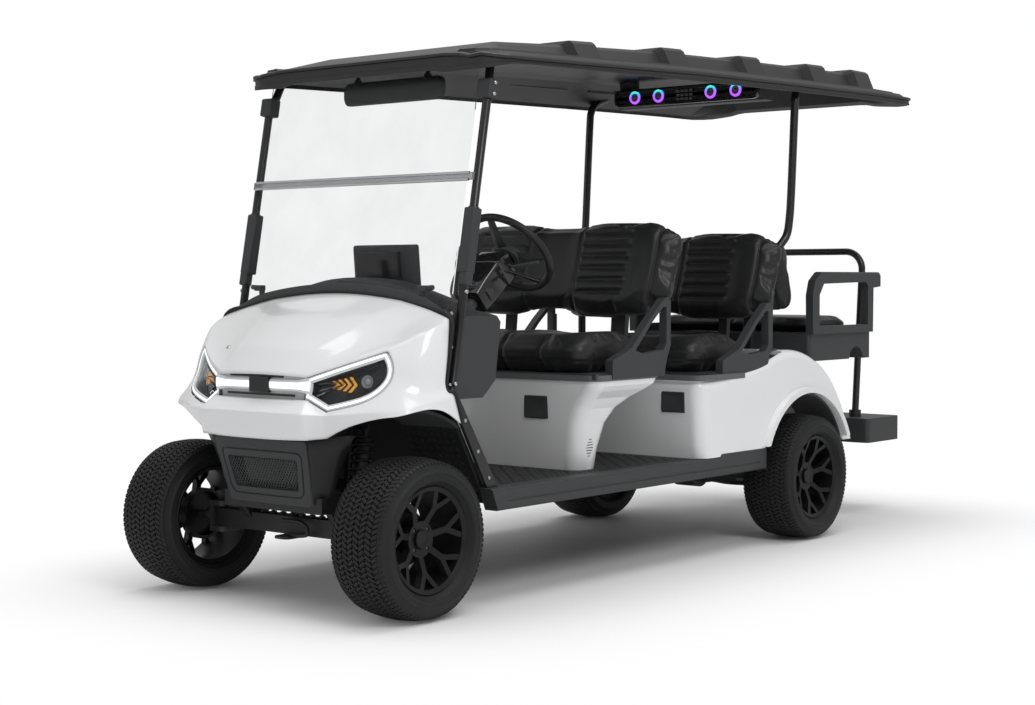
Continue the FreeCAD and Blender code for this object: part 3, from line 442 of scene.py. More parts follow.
DUST_COLOUR = (0.16, 0.15, 0.14)
DUST_ROUGHNESS = 0.9


def solid_finish(name, colour, roughness, grain=900.0, depth=0.0002, strength=0.25, tone=0.12,
                 under=None, wear=0.0, worn=(0.3, 0.3, 0.3), dust=0.0, hide=0.0, **plain):
    """A finish with grain, slow tone changes, painted shade on faces that look down, worn edges and settled dust.
    """
    tree, shader = start_material(name)
    texture = use_group(tree, "Grain", Scale=grain)
    dark = [c * (1 - tone) for c in colour]
    light = [min(1.0, c * (1 + tone)) for c in colour]
    base = blend(tree, texture["Tone"], dark, light)
    # painted shade: faces that look down take the darker under colour
    if under:
        base = blend(tree, use_group(tree, "Painted underside shade")["Mask"], base, under)
    if wear:
        base = blend(tree, use_group(tree, "Edge wear", Amount=wear)["Mask"], base, worn)
    rough = blend(tree, texture["Tone"], roughness - 0.05, roughness + 0.05, "FLOAT")
    if dust:
        film = use_group(tree, "Dust", Amount=dust)["Mask"]
        base = blend(tree, film, base, DUST_COLOUR)
        rough = blend(tree, film, rough, DUST_ROUGHNESS, "FLOAT")
    height = use_group(tree, "Hide", Scale=hide)["Height"] if hide else texture["Height"]
    bump = add_node(tree, "Bump", Strength=strength, Distance=depth, Height=height)
    plain.setdefault("Specular_IOR_Level", 0.3)
    fill(tree, shader, Base_Color=base, Roughness=rough, Normal=bump.outputs[0], **plain)


def clear_finish(name, plain_colour, scale, low, high, **plain):
    """Thin clear plastic whose tint changes slowly from place to place."""
    tree, shader = start_material(name)
    fill(tree, shader, Base_Color=plain_colour, Roughness=0.0, IOR=1.12, Transmission_Weight=1.0,
         **plain)
    tint = blend(tree, use_group(tree, "Grain", Scale=scale)["Tone"], low, high)
    fill(tree, shader, Base_Color=tint)


def glow_finish(name, colour, strength, soft=0.04):
    """A lit diffuser with a slightly uneven light."""
    tree, shader = start_material(name)
    low = [c * (1 - soft) for c in colour]
    glow = blend(tree, use_group(tree, "Grain", Scale=220.0)["Tone"], low, list(colour))
    fill(tree, shader, Base_Color=list(colour), Roughness=0.25, Emission_Strength=strength,
         Coat_Weight=0.6, Emission_Color=glow)


def build_ring_finish():
    """Speaker light ring that runs from violet over blue to green with height."""
    tree, shader = start_material("speaker_ring")
    low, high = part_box("speaker_console")
    share = math_node(tree, "SUBTRACT", split_axes(tree, object_place(tree))["Z"], low.z)
    share = math_node(tree, "DIVIDE", share, high.z - low.z, clamp=True)
    colours = add_node(tree, "ValToRGB")
    feed(tree, colours.inputs[0], share)
    stops = colours.color_ramp.elements
    stops[0].position = 0.36
    stops[1].position = 0.60
    stops.new(0.47)
    for stop, tone in zip(stops, ((0.42, 0.1, 0.95), (0.05, 0.35, 0.95), (0.06, 0.9, 0.3))):
        stop.color = (*tone, 1)
    fill(tree, shader, Base_Color=colours.outputs[0], Emission_Color=colours.outputs[0],
         Emission_Strength=1.2, Roughness=0.3)


def build_finishes():
    tones = finishes()
    solid_finish("body_white", tones.body, 0.2, 260.0, 0.00004, 0.06, tone=0.012, dust=0.05,
                 Coat_Weight=0.6, Coat_Roughness=0.05)
    solid_finish("trim_charcoal", tones.trim, 0.5, 1100.0, 0.0003, 0.35, wear=0.25,
                 worn=(0.10, 0.10, 0.105), dust=0.08)
    solid_finish("frame_black", tones.steel, 0.42, 700.0, 0.0002, 0.2, wear=0.25,
                 worn=(0.12, 0.12, 0.12), dust=0.16)
    solid_finish("post_black", tones.steel, 0.3, 700.0, 0.0001, 0.12, wear=0.2,
                 worn=(0.14, 0.14, 0.14), Coat_Weight=0.25, Coat_Roughness=0.2)
    # the under colour is painted shade on the roof's down-facing faces, rim included
    solid_finish("roof_black", tones.canopy, 0.45, 1000.0, 0.0003, 0.3, wear=0.2,
                 under=(0.007, 0.007, 0.0072), worn=(0.09, 0.09, 0.09), dust=0.04)
    solid_finish("floor_mat", tones.rubber, 0.5, 800.0, 0.0003, 0.3, tone=0.2, dust=0.12)
    solid_finish("seat_black", tones.vinyl, 0.36, 300.0, 0.0006, 0.3, tone=0.15, hide=420.0,
                 Sheen_Weight=0.08, Sheen_Roughness=0.4)
    solid_finish("seat_thread", (0.03, 0.03, 0.031), 0.6, 1500.0, 0.0003, 0.5)
    solid_finish("tyre", [0.62 * c for c in tones.rubber], 0.62, 650.0, 0.0004, 0.35,
                 tone=0.22, dust=0.07)
    solid_finish("rim_black", tones.alloy, 0.38, 500.0, 0.0001, 0.1, wear=0.15,
                 worn=(0.2, 0.2, 0.2), dust=0.06, Metallic=0.4)
    solid_finish("light_bar_black", (0.012, 0.012, 0.013), 0.16, 500.0, 0.00004, 0.05,
                 Coat_Weight=0.5)
    solid_finish("wheel_grip", (0.014, 0.014, 0.015), 0.48, 700.0, 0.0004, 0.3, hide=600.0)
    solid_finish("bare_steel", (0.5, 0.51, 0.53), 0.33, 420.0, 0.0001, 0.2, wear=0.3,
                 worn=(0.75, 0.76, 0.78), dust=0.1, Metallic=1.0)
    solid_finish("cast_grey", (0.055, 0.056, 0.058), 0.55, 320.0, 0.0006, 0.4, wear=0.3,
                 worn=(0.2, 0.2, 0.2), dust=0.2, Metallic=0.3)
    solid_finish("mirror_glass", (0.8, 0.82, 0.84), 0.06, 90.0, 0.00002, 0.02, tone=0.02,
                 Metallic=1.0)
    solid_finish("grille_mesh", (0.085, 0.088, 0.09), 0.5, 900.0, 0.0002, 0.2)
    solid_finish("strip_grey", (0.11, 0.113, 0.117), 0.5, 900.0, 0.0002, 0.2)
    solid_finish("hinge_clear", (0.42, 0.43, 0.44), 0.18, 200.0, 0.0001, 0.1,
                 Transmission_Weight=0.6)
    solid_finish("screen_glass", (0.004, 0.004, 0.005), 0.06, 90.0, 0.00002, 0.02,
                 Coat_Weight=0.6)
    solid_finish("bezel_grey", (0.46, 0.465, 0.47), 0.35, 500.0, 0.00005, 0.05)
    solid_finish("lamp_inside", (0.085, 0.09, 0.09), 0.3, 500.0, 0.00005, 0.05)
    clear_finish("windshield_clear", (0.955, 0.97, 0.975), 40.0, (0.80, 0.805, 0.81),
                 (0.93, 0.935, 0.94), Specular_IOR_Level=0.4)
    clear_finish("lamp_lens", (0.6, 0.62, 0.64), 60.0, (0.62, 0.64, 0.66), (0.74, 0.76, 0.78))
    glow_finish("halo_white", (0.32, 0.325, 0.33), 0.85)
    glow_finish("halo_core", (0.92, 0.93, 0.94), 0.8)
    glow_finish("amber", tones.amber, 0.5, 0.5)
    build_ring_finish()


class CART_OT_finishes(bpy.types.Operator):
    """Makes the shared shader groups and every finish"""

    bl_idname = "cart.finishes"
    bl_label = "Finishes"

    def execute(self, context):
        build_grain_group()
        build_hide_group()
        build_wear_group()
        build_dust_group()
        build_painted_shade_group()
        build_finishes()
        return {"FINISHED"}


# Frame pieces that keep their solid

BEVELLED = (
    "frame", "front_axle", "front_suspension", "rear_axle", "rear_suspension", "steering_gear",
    "tie_rod", "knuckle_left", "knuckle_right", "sills", "dashboard", "steering_column", "pedals",
    "windshield_hinge", "front_posts", "rear_posts", "speaker_console", "mirror", "front_pod",
    "rear_body", "hatches", "front_seat_frame", "middle_seat_frame", "rear_back_frame",
    "rear_seat_tray", "rear_armrests", "rear_step", "lower_grille", "display", "floor",
)

MOULDED = (
    "front_seat_frame", "middle_seat_frame", "rear_armrests", "rear_step", "steering_column",
    "rear_seat_tray",
)


class CART_OT_frame_finish(bpy.types.Operator):
    """Gives every solid of the frame its finish and soft edges"""

    bl_idname = "cart.frame_finish"
    bl_label = "Frame finish"

    def execute(self, context):
        slots = {row["node"]: row["material_slot"] for row in frame["record"]["subparts"]}
        for name, obj in frame["nodes"].items():
            obj.data.materials.clear()
            obj.data.materials.append(bpy.data.materials[slots[name]])
            if name in BEVELLED:
                width = sizes().moulded_edge if name in MOULDED else sizes().soft_edge
                modifier(obj, "WELD", merge_threshold=0.00002)
                modifier(obj, "BEVEL", width=width, segments=3 if name in MOULDED else 2,
                         limit_method="ANGLE", angle_limit=math.radians(40),
                         harden_normals=False)
        return {"FINISHED"}


# Front cowl

HOOD_ROWS = (
    # rear edge, two rows between, break line, lip; from the middle to the outer crease
    ((-0.200, 0, 1.115), (-0.199, 0.165, 1.108), (-0.196, 0.323, 1.089),
     (-0.190, 0.465, 1.060), (-0.176, 0.577, 1.026)),
    ((-0.090, 0, 1.066), (-0.092, 0.145, 1.060), (-0.100, 0.283, 1.036),
     (-0.110, 0.430, 1.003), (-0.130, 0.572, 1.008)),
    ((0.020, 0, 1.003), (0.018, 0.125, 0.998), (0.000, 0.243, 0.980),
     (-0.020, 0.375, 0.948), (-0.075, 0.555, 0.982)),
    ((0.128, 0, 0.926), (0.122, 0.105, 0.925), (0.096, 0.205, 0.921),
     (0.040, 0.335, 0.903), (-0.035, 0.517, 0.955)),
    ((0.197, 0, 0.834), (0.192, 0.120, 0.833), (0.170, 0.222, 0.827),
     (0.127, 0.325, 0.866), (0.024, 0.468, 0.922)),
)
SIDE_ROWS = (
    # middle, low, flare crease and bottom edge; from the rear edge to the lamp
    ((-0.152, 0.592, 0.900), (-0.100, 0.590, 0.890), (-0.045, 0.580, 0.878),
     (-0.010, 0.550, 0.872), (0.022, 0.503, 0.876)),
    ((-0.135, 0.592, 0.785), (-0.090, 0.587, 0.783), (-0.040, 0.575, 0.782),
     (0.004, 0.546, 0.785), (0.034, 0.506, 0.812)),
    ((-0.165, 0.608, 0.764), (-0.100, 0.612, 0.752), (-0.020, 0.604, 0.740),
     (0.060, 0.584, 0.722), (0.082, 0.532, 0.715)),
    ((-0.200, 0.610, 0.660), (-0.120, 0.612, 0.712), (-0.030, 0.610, 0.726),
     (0.061, 0.590, 0.706), (0.088, 0.542, 0.697)),
)
BUMPER_ROWS = (
    # under the lamp and the light bar, bulge crease, bottom edge; from the side to the middle
    ((0.100, 0.475, 0.752), (0.135, 0.400, 0.728), (0.162, 0.311, 0.708),
     (0.180, 0.233, 0.748), (0.186, 0.120, 0.747), (0.188, 0, 0.747)),
    ((0.113, 0.498, 0.714), (0.164, 0.400, 0.705), (0.190, 0.315, 0.700),
     (0.236, 0.262, 0.703), (0.247, 0.140, 0.705), (0.250, 0, 0.705)),
    ((0.103, 0.498, 0.692), (0.148, 0.400, 0.664), (0.160, 0.312, 0.618),
     (0.215, 0.260, 0.612), (0.232, 0.140, 0.609), (0.235, 0, 0.609)),
)


def cowl_cage():
    """Half of the nose as a cage: hood, side and bumper round the lamp opening."""
    bm = bmesh.new()
    known = {}

    def vertex(point):
        key = tuple(round(c, 4) for c in point)
        if key not in known:
            known[key] = bm.verts.new(place(*point))
        return known[key]

    creases = []

    def strip(upper, lower, flip=False):
        for a, b, c, d in zip(upper, upper[1:], lower[1:], lower):
            corners = [vertex(p) for p in (a, b, c, d)]
            bm.faces.new(corners[::-1] if flip else corners)

    for upper, lower in zip(HOOD_ROWS, HOOD_ROWS[1:]):
        strip(upper, lower)
    edge = tuple(row[4] for row in HOOD_ROWS)
    rows = (edge,) + SIDE_ROWS
    strip(rows[0], rows[1])
    strip(rows[1], rows[2])
    strip(rows[2] + BUMPER_ROWS[0], rows[3] + BUMPER_ROWS[1])
    strip(rows[3] + BUMPER_ROWS[1], rows[4] + BUMPER_ROWS[2])
    hood_crease = [row[2] for row in HOOD_ROWS]
    belt = rows[3] + BUMPER_ROWS[1]
    creases += [(a, b, 1.0) for a, b in zip(hood_crease, hood_crease[1:])]
    creases += [(a, b, 1.0) for a, b in zip(HOOD_ROWS[3][:3], HOOD_ROWS[3][1:3])]
    creases += [(a, b, 0.6) for a, b in zip(edge, edge[1:])]
    creases += [(a, b, 0.85) for a, b in zip(belt, belt[1:])]
    creases += [(BUMPER_ROWS[k][3], BUMPER_ROWS[k + 1][3], 1.0) for k in range(2)]
    creases += [(BUMPER_ROWS[k][2], BUMPER_ROWS[k + 1][2], 1.0) for k in range(2)]
    layer = bm.edges.layers.float.new("crease_edge")
    for a, b, weight in creases:
        found = bm.edges.get((vertex(a), vertex(b)))
        found[layer] = weight
    for corner in (HOOD_ROWS[0][4], SIDE_ROWS[3][0], BUMPER_ROWS[0][2], BUMPER_ROWS[0][3],
                   HOOD_ROWS[4][2], HOOD_ROWS[4][4]):
        for linked in vertex(corner).link_edges:
            if linked.is_boundary:
                linked[layer] = max(linked[layer], 0.5)
    return bm


def both_halves(bm):
    """Adds the mirror image of a half that ends on the middle plane."""
    made = bmesh.ops.duplicate(bm, geom=bm.verts[:] + bm.edges[:] + bm.faces[:])["geom"]
    for vert in made:
        if isinstance(vert, bmesh.types.BMVert):
            vert.co.y = -vert.co.y
    faces = [f for f in made if isinstance(f, bmesh.types.BMFace)]
    bmesh.ops.reverse_faces(bm, faces=faces)
    bmesh.ops.remove_doubles(bm, verts=bm.verts, dist=0.0002)


def opening_loop(obj):
    """The inner boundary of the cowl's skin, from the evaluated surface."""
    depsgraph = bpy.context.evaluated_depsgraph_get()
    bm = bmesh.new()
    bm.from_mesh(obj.evaluated_get(depsgraph).to_mesh())
    left = {e for e in bm.edges if e.is_boundary}
    loops = []
    while left:
        edge = left.pop()
        chain = [edge.verts[0], edge.verts[1]]
        while chain[-1] is not chain[0]:
            step = next((e for e in chain[-1].link_edges if e in left), None)
            if step is None:
                break
            left.discard(step)
            chain.append(step.other_vert(chain[-1]))
        loops.append([v.co.copy() for v in chain[:-1]])
    bm.free()
    return min(loops, key=lambda loop: max(p.z for p in loop) - min(p.z for p in loop)
               + max(p.x for p in loop) - min(p.x for p in loop))


class CART_OT_cowl(bpy.types.Operator):
    """Builds the moulded nose with its lamps and light bar"""

    bl_idname = "cart.cowl"
    bl_label = "Front cowl"

    def execute(self, context):
        bm = cowl_cage()
        both_halves(bm)
        cowl = bmesh_piece("cowl_skin", bm, "body_white", 60)
        modifier(cowl, "SUBSURF", levels=3, render_levels=3)
        loop = opening_loop(cowl)
        modifier(cowl, "SOLIDIFY", thickness=sizes().skin, offset=-1)
        apply_modifiers(cowl)
        settle(cowl, "chassis", "body_white", "front_cowl")
        build_lamps(loop)
        return {"FINISHED"}


def flat_frame(points):
    """Centre and two directions of the plane that lies best along a loop."""
    centre = sum(points, Vector()) / len(points)
    normal = Vector()
    for a, b in zip(points, points[1:] + points[:1]):
        normal += (a - centre).cross(b - centre)
    normal.normalize()
    if normal.x < 0:
        normal = -normal
    across = Vector((0, 0, 1)).cross(normal).normalized()
    return centre, across, normal.cross(across), normal


def inset_loop(flat, distance):
    """Moves a flat closed loop of (u, v) points inwards by a distance."""
    count = len(flat)
    area = sum(a[0] * b[1] - b[0] * a[1] for a, b in zip(flat, flat[1:] + flat[:1]))
    sign = 1 if area > 0 else -1
    moved = []
    for k in range(count):
        a, b, c = flat[k - 1], flat[k], flat[(k + 1) % count]
        one = Vector((b[0] - a[0], b[1] - a[1])).normalized()
        two = Vector((c[0] - b[0], c[1] - b[1])).normalized()
        normal = Vector((-(one.y + two.y), one.x + two.x))
        if normal.length < 1e-6:
            normal = Vector((-one.y, one.x))
        normal.normalize()
        stretch = 1 / max(0.6, normal.dot(Vector((-one.y, one.x))))
        moved.append((b[0] + sign * normal.x * distance * stretch,
                      b[1] + sign * normal.y * distance * stretch))
    return moved


def resample(points, count):
    """Evenly spaced points on a closed loop."""
    lengths = [(b - a).length for a, b in zip(points, points[1:] + points[:1])]
    total = sum(lengths)
    result = []
    index = 0
    done = 0.0
    for k in range(count):
        target = total * k / count
        while done + lengths[index] < target:
            done += lengths[index]
            index += 1
        share = (target - done) / lengths[index]
        result.append(points[index].lerp(points[(index + 1) % len(points)], share))
    return result


def build_lamps(loop):
    """Lamp units and the light bar that fill the opening of the nose."""
    bar_end = 0.215
    for hand, side in SIDES:
        own = [p for p in loop if side * p.y > bar_end]
        start = max(range(len(own)), key=lambda k: (own[k] - own[k - 1]).length)
        build_lamp(hand, side, resample(own[start:] + own[:start], 96))
    build_light_bar()


def build_lamp(hand, side, outline):
    """Tub, lit band and lens of one lamp, set into its outline."""
    band = sizes().halo
    centre, across, up, normal = flat_frame(outline)
    flat = [((p - centre).dot(across), (p - centre).dot(up)) for p in outline]
    depth = [(p - centre).dot(normal) for p in outline]

    def ring(distance, sink):
        return [centre + across * u + up * v + normal * (h - sink)
                for (u, v), h in zip(inset_loop(flat, distance), depth)]

    edge = ring(band + 0.001, 0.0)
    middle = sum(edge, Vector()) / len(edge)

    def shrunk(share, sink):
        """The band's inner edge drawn in towards its middle and pushed back."""
        return [p.lerp(middle, share) - normal * sink for p in edge]

    tub = [ring(0.001, 0.004), ring(0.003, 0.020), ring(band + 0.002, 0.022),
           shrunk(0.12, 0.050), shrunk(0.45, 0.058), shrunk(0.8, 0.060)]
    add_ring_piece(f"lamp_tub_{hand}", tub, "lamp_inside", "light_bar_black",
                   *(["headlamps"] if side > 0 else []), angle=30)
    halo = [ring(0.004, 0.02), ring(0.004, 0.007), ring(0.007, 0.0035),
            ring(band - 0.004, 0.0035), ring(band, 0.007), ring(band, 0.022)]
    add_ring_piece(f"lamp_halo_{hand}", halo, "halo_white", "lamp_lens", close=False, angle=50)
    core = [ring(0.010, 0.004), ring(0.011, 0.0026), ring(band - 0.008, 0.0026),
            ring(band - 0.007, 0.004)]
    add_ring_piece(f"lamp_halo_core_{hand}", core, "halo_core", "lamp_lens", close=False, angle=50)
    lens = [ring(band + 0.0005, 0.010)]
    lens += [shrunk(share, 0.010 - 0.004 * share) for share in (0.3, 0.6, 0.85)]
    add_ring_piece(f"lamp_lens_{hand}", lens, "lamp_lens", "lamp_lens", angle=180,
                   SOLIDIFY={"thickness": 0.0015, "offset": -1})
    build_lamp_inside(hand, side, centre, across, up, normal)


def build_lamp_inside(hand, side, centre, across, up, normal):
    """Projector bowl and the amber arrows behind the lens."""
    outward = across * (1 if across.y * side > 0 else -1)
    width = 0.0055
    lean = 0.010
    thickness = 0.004
    bm = bmesh.new()
    for k in range(4):
        middle = centre + outward * (-0.052 + 0.021 * k) - up * 0.004 - normal * 0.020
        half = 0.013 + 0.0045 * k
        for sign in (1, -1):
            corners = [
                middle + outward * (lean - width), middle + outward * (lean + width),
                middle + outward * (width - lean) + up * (sign * half),
                middle - outward * (lean + width) + up * (sign * half),
            ]
            face = bm.faces.new([bm.verts.new(c) for c in corners])
            for item in bmesh.ops.extrude_face_region(bm, geom=[face])["geom"]:
                if isinstance(item, bmesh.types.BMVert):
                    item.co += normal * thickness
    add_piece(f"lamp_arrows_{hand}", bm, "amber", "lamp_lens")
    eye = centre + outward * 0.058 + up * 0.010 - normal * 0.024
    bowl = [circle_ring(eye - normal * sink, across, up, radius, radius * 1.1, 28)
            for radius, sink in ((0.021, 0.0), (0.019, 0.004), (0.015, 0.010), (0.011, 0.012),
                                 (0.010, 0.004), (0.007, 0.0), (0.003, -0.001))]
    add_ring_piece(f"lamp_bowl_{hand}", bowl, "bezel_grey", "bare_steel", angle=40)


def build_light_bar():
    """Lit bar between the lamps, black strips of painted shade in the gaps above and below it, and the bare centre
    plate.
    """
    ahead = 0.176
    middle = 0.795
    half = 0.020

    def bar_point(y, depth, height):
        bow = 0.12
        return place(ahead - bow * y * y + depth, y, height)

    def bar_line(start, end, count, depth, height):
        return [bar_point(start + (end - start) * k / count, depth, height)
                for k in range(count + 1)]

    for name, finish, share, proud in (("light_bar_lit", "halo_white", 1.0, 0.0),
                                       ("light_bar_core", "halo_core", 0.66, 0.0014)):
        rows = []
        for k in range(29):
            y = (k / 14 - 1) * 0.236
            tall = half * share * (1 + 0.45 * ramp(abs(y), 0.18, 0.235))
            rows.append([bar_point(y, proud + depth, middle + tall * rise)
                         for depth, rise in ((-0.016, -1), (-0.001, -1), (0.003, -0.8),
                                             (0.004, 0), (0.003, 0.8), (-0.001, 1), (-0.016, 1))])
        add_ring_piece(name, rows, finish, "light_bar_black",
                       *(["light_bar"] if share == 1.0 else []), angle=50)
    bm = bmesh.new()
    add_sweep(bm, bar_line(-0.212, 0.212, 20, -0.010, middle - 0.004),
              rectangle(-0.006, 0.004, -0.046, 0.046))
    add_piece("light_bar_bezel", bm, "bezel_grey", "light_bar_black", angle=40)
    # black strips above and below the bar: painted shade of the gaps round it
    bm = bmesh.new()
    for start, end, height in ((-0.165, 0.110, 0.8245), (-0.180, 0.165, 0.7605)):
        add_sweep(bm, bar_line(start, end, 12, -0.005, height),
                  rectangle(-0.002, 0.002, -0.004, 0.004))
    add_piece("light_bar_shade_strips", bm, "light_bar_black", "light_bar_black", angle=40)
    bm = bmesh.new()
    add_box(bm, place(ahead + 0.003, 0.0, middle), (0.018, 0.098, 0.056))
    add_piece("light_bar_plate", bm, "light_bar_black", "light_bar_black", angle=40,
              BEVEL={"width": 0.004, "segments": 3})


# Seats

SEAT_PITCH = 0.785
SEAT_DROP = 0.028


def pad_form(name, half_width, centre, along, out, reach, thickness, corner, shape):
    """A closed pad: superellipse sections across the cart that round off at its ends.

    shape(y) gives (shift along, shift out, scale along, scale out) for a place across.
    """
    bm = bmesh.new()
    around = 56
    rows = []
    steps = 60
    for index in range(1, steps):
        angle = math.pi * index / steps
        s = -math.cos(angle)
        shrink = (1 - abs(s) ** corner) ** (1 / corner)
        y = s * half_width
        move_along, move_out, scale_along, scale_out = shape(y)
        middle = centre + along * move_along + out * move_out
        a = reach * scale_along * (0.25 + 0.75 * shrink)
        b = thickness * scale_out * shrink
        ring = []
        for k in range(around):
            turn = 2 * math.pi * k / around
            c, d = math.cos(turn), math.sin(turn)
            u = math.copysign(abs(c) ** 0.55, c) * a
            v = math.copysign(abs(d) ** 0.75, d) * b
            ring.append(middle + along * u + out * v + Vector((0, y, 0)))
        rows.append(ring)
    add_rings(bm, rows, close_first=True)
    return bmesh_piece(name, bm, "seat_black", 180)


def puff_up(obj, cap):
    """Fills the pad with air as cloth and keeps each point within a small distance."""
    modifier(obj, "REMESH", mode="VOXEL", voxel_size=sizes().voxel, use_smooth_shade=True)
    apply_modifiers(obj)
    rest = [v.co.copy() for v in obj.data.vertices]
    cloth = modifier(obj, "CLOTH")
    cloth.settings.use_pressure = True
    cloth.settings.uniform_pressure_force = 4.0
    cloth.settings.effector_weights.gravity = 0
    cloth.settings.quality = 4
    cloth.collision_settings.use_collision = False
    cloth.point_cache.frame_start = 1
    cloth.point_cache.frame_end = sizes().frames
    scene = bpy.context.scene
    for step in range(1, sizes().frames + 1):
        scene.frame_set(step)
    apply_modifiers(obj)
    for vert, start in zip(obj.data.vertices, rest):
        move = vert.co - start
        if move.length > cap:
            vert.co = start + move.normalized() * cap
    scene.frame_set(1)


def relax(obj, rounds):
    bm = bmesh.new()
    bm.from_mesh(obj.data)
    for _ in range(rounds):
        bmesh.ops.smooth_vert(bm, verts=bm.verts, factor=0.5, use_axis_x=True, use_axis_y=True,
                              use_axis_z=True)
    bm.to_mesh(obj.data)
    bm.free()


def ramp(value, low, high):
    share = min(1.0, max(0.0, (value - low) / (high - low)))
    return share * share * (3 - 2 * share)


def groove(value, line, width):
    """1 on a line and 0 away from it, with rounded banks."""
    share = abs(value - line) / width
    return math.exp(-share * share)


def carve(obj, direction, depth_at):
    """Moves each point inwards along its normal by what depth_at gives there."""
    normals = [v.normal.copy() for v in obj.data.vertices]
    for vert, normal in zip(obj.data.vertices, normals):
        facing = ramp(normal.dot(direction), -0.1, 0.45)
        depth = depth_at(vert.co, facing, normal)
        if depth:
            vert.co -= normal * depth
    shade(obj.data, 180)


BACK_LEAN = math.atan2(0.110, 0.345)
BACK_UP = Vector((-math.sin(BACK_LEAN), 0, math.cos(BACK_LEAN)))
BACK_OUT = Vector((math.cos(BACK_LEAN), 0, math.sin(BACK_LEAN)))
CHANNEL_LINES = (-0.124, -0.0715, -0.019, 0.0335, 0.086, 0.1385)
CHANNEL_PITCH = 0.0525
SEAM_IN = 0.118
SEAM_OUT = 0.405
SEAM_CAP = 0.500


def seam_bow(height):
    """How far a seam swings out at a height from the pad's middle."""
    return 0.020 * (1 - (height / 0.22) ** 2)


def channel_relief(height):
    """Depth of the sewn lines, and the puffed ribs between them."""
    away = min(abs(height - line) for line in CHANNEL_LINES)
    share = min(1.0, away / (CHANNEL_PITCH / 2))
    inside = 1 if CHANNEL_LINES[0] <= height <= CHANNEL_LINES[-1] else 0
    rib = 0.005 * inside * math.sin(share * math.pi / 2)
    return sizes().channel * groove(away, 0.0, 0.0085) - rib


def back_shape(y):
    """The two seats stand up and hang down from the middle part."""
    seat = ramp(abs(y), 0.05, 0.22) * (1 - ramp(abs(y), 0.44, 0.60))
    return (-0.006 * seat, 0.012 * seat, 0.90 + 0.11 * seat, 0.86 + 0.18 * seat)


def back_depth(centre):
    def depth(point, facing, normal):
        y = abs(point.y)
        local = point - centre
        h = local.dot(BACK_UP)
        bow = seam_bow(h)
        inner = groove(y, SEAM_IN + bow, 0.008)
        cap = groove(y, SEAM_CAP + bow, 0.008)
        field = ramp(y, SEAM_IN + bow + 0.008, SEAM_IN + bow + 0.022)
        field *= 1 - ramp(y, SEAM_OUT - 0.03, SEAM_OUT)
        inside = ramp(y, SEAM_IN, 0.2) * (1 - ramp(y, 0.36, 0.46)) * (1 - ramp(abs(h), 0.15, 0.22))
        sewn = channel_relief(h) * field
        return facing * (sewn + 0.007 * inside) + 0.006 * (inner + cap)
    return depth


def cushion_shape(y):
    seat = ramp(abs(y), 0.04, 0.2) * (1 - ramp(abs(y), 0.36, 0.5))
    return (-0.012 * seat, 0.0, 1.0 + 0.03 * seat, 1.0)


def cushion_depth(centre, top):
    def depth(point, facing, normal):
        y = abs(point.y)
        ahead = point.x - centre.x
        bucket = ramp(y, 0.1, 0.2) * (1 - ramp(y, 0.36, 0.47)) * (1 - ramp(ahead, 0.06, 0.2))
        bend = 0.10 * ramp(ahead, 0.0, 0.26)
        side_seam = groove(y, 0.425 - bend, 0.008) * (1 - ramp(ahead, 0.20, 0.25))
        middle_seam = groove(y, 0.118 + 0.03 * ramp(ahead, 0.0, 0.2), 0.008)
        welt = groove(point.z, top - 0.105, 0.006)
        valley = 1 - ramp(y, 0.03, 0.16)
        return (facing * (0.014 * bucket + 0.010 * valley)
                + 0.006 * (side_seam + middle_seam) * max(facing, ramp(normal.x, 0.2, 0.6))
                + 0.005 * welt * (1 - facing))
    return depth



def piping(name, pad, lines, direction, radius=0.0032):
    """Sewn-in cords that lie on the pad along the given lines."""
    tree = BVHTree.FromObject(pad, bpy.context.evaluated_depsgraph_get())
    bm = bmesh.new()
    for line in lines:
        found = [tree.ray_cast(p, direction)[0] for p in line]
        found = [p for p in found if p is not None]
        if len(found) > 3:
            add_sweep(bm, found, circle_profile(radius, 6))
    return bmesh_piece(name, bm, "seat_thread", 60)


def copy_shifted(obj, name, shift):
    twin = bpy.data.objects.new(name, obj.data.copy())
    twin.data.transform(Matrix.Translation(shift))
    bpy.context.scene.collection.objects.link(twin)
    return twin


def back_seam_lines(centre):
    lines = []
    for seam, reach in ((SEAM_IN, 0.205), (SEAM_CAP, 0.190)):
        for side in (1, -1):
            line = []
            for k in range(25):
                h = reach * (k / 12 - 1)
                y = side * (seam + seam_bow(h))
                line.append(centre + BACK_UP * h + BACK_OUT * 0.3 + Vector((0, y, 0)))
            lines.append(line)
    return lines


def cushion_seam_lines(centre):
    """The bolster seams, which swing inwards towards the front edge."""
    lines = []
    for side in (1, -1):
        line = []
        for k in range(25):
            ahead = -0.17 + 0.37 * k / 24
            y = side * (0.425 - 0.10 * ramp(ahead, 0.0, 0.26))
            line.append(centre + Vector((ahead, y, 0.3)))
        lines.append(line)
    return lines


class CART_OT_seats(bpy.types.Operator):
    """Builds the padded cushions and backrests with their seams"""

    bl_idname = "cart.seats"
    bl_label = "Seats"

    def execute(self, context):
        back_centre = place(-1.560, 0, 1.209)
        back = pad_form("seat_back_front", 0.610, back_centre, BACK_UP, BACK_OUT, 0.224, 0.047,
                        4.6, back_shape)
        finish_pad(back, 0.024, BACK_OUT, back_depth(back_centre))
        cords = piping("seat_back_piping_front", back, back_seam_lines(back_centre), -BACK_OUT)
        cushion_centre = place(-1.190, 0, 0.876)
        cushion = pad_form("seat_cushion_front", 0.548, cushion_centre, AHEAD, UP, 0.240, 0.064,
                           6.5, cushion_shape)
        finish_pad(cushion, 0.022, UP, cushion_depth(cushion_centre, 0.950))
        welts = piping("seat_cushion_piping_front", cushion, cushion_seam_lines(cushion_centre),
                       -UP)
        for pad in (settle_pair(back, "chassis", "front_backrest")
                    + settle_pair(cushion, "front_seat_lid", "front_cushion")):
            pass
        settle_pair(cords, "chassis")
        settle_pair(welts, "front_seat_lid")
        build_rear_pads()
        return {"FINISHED"}


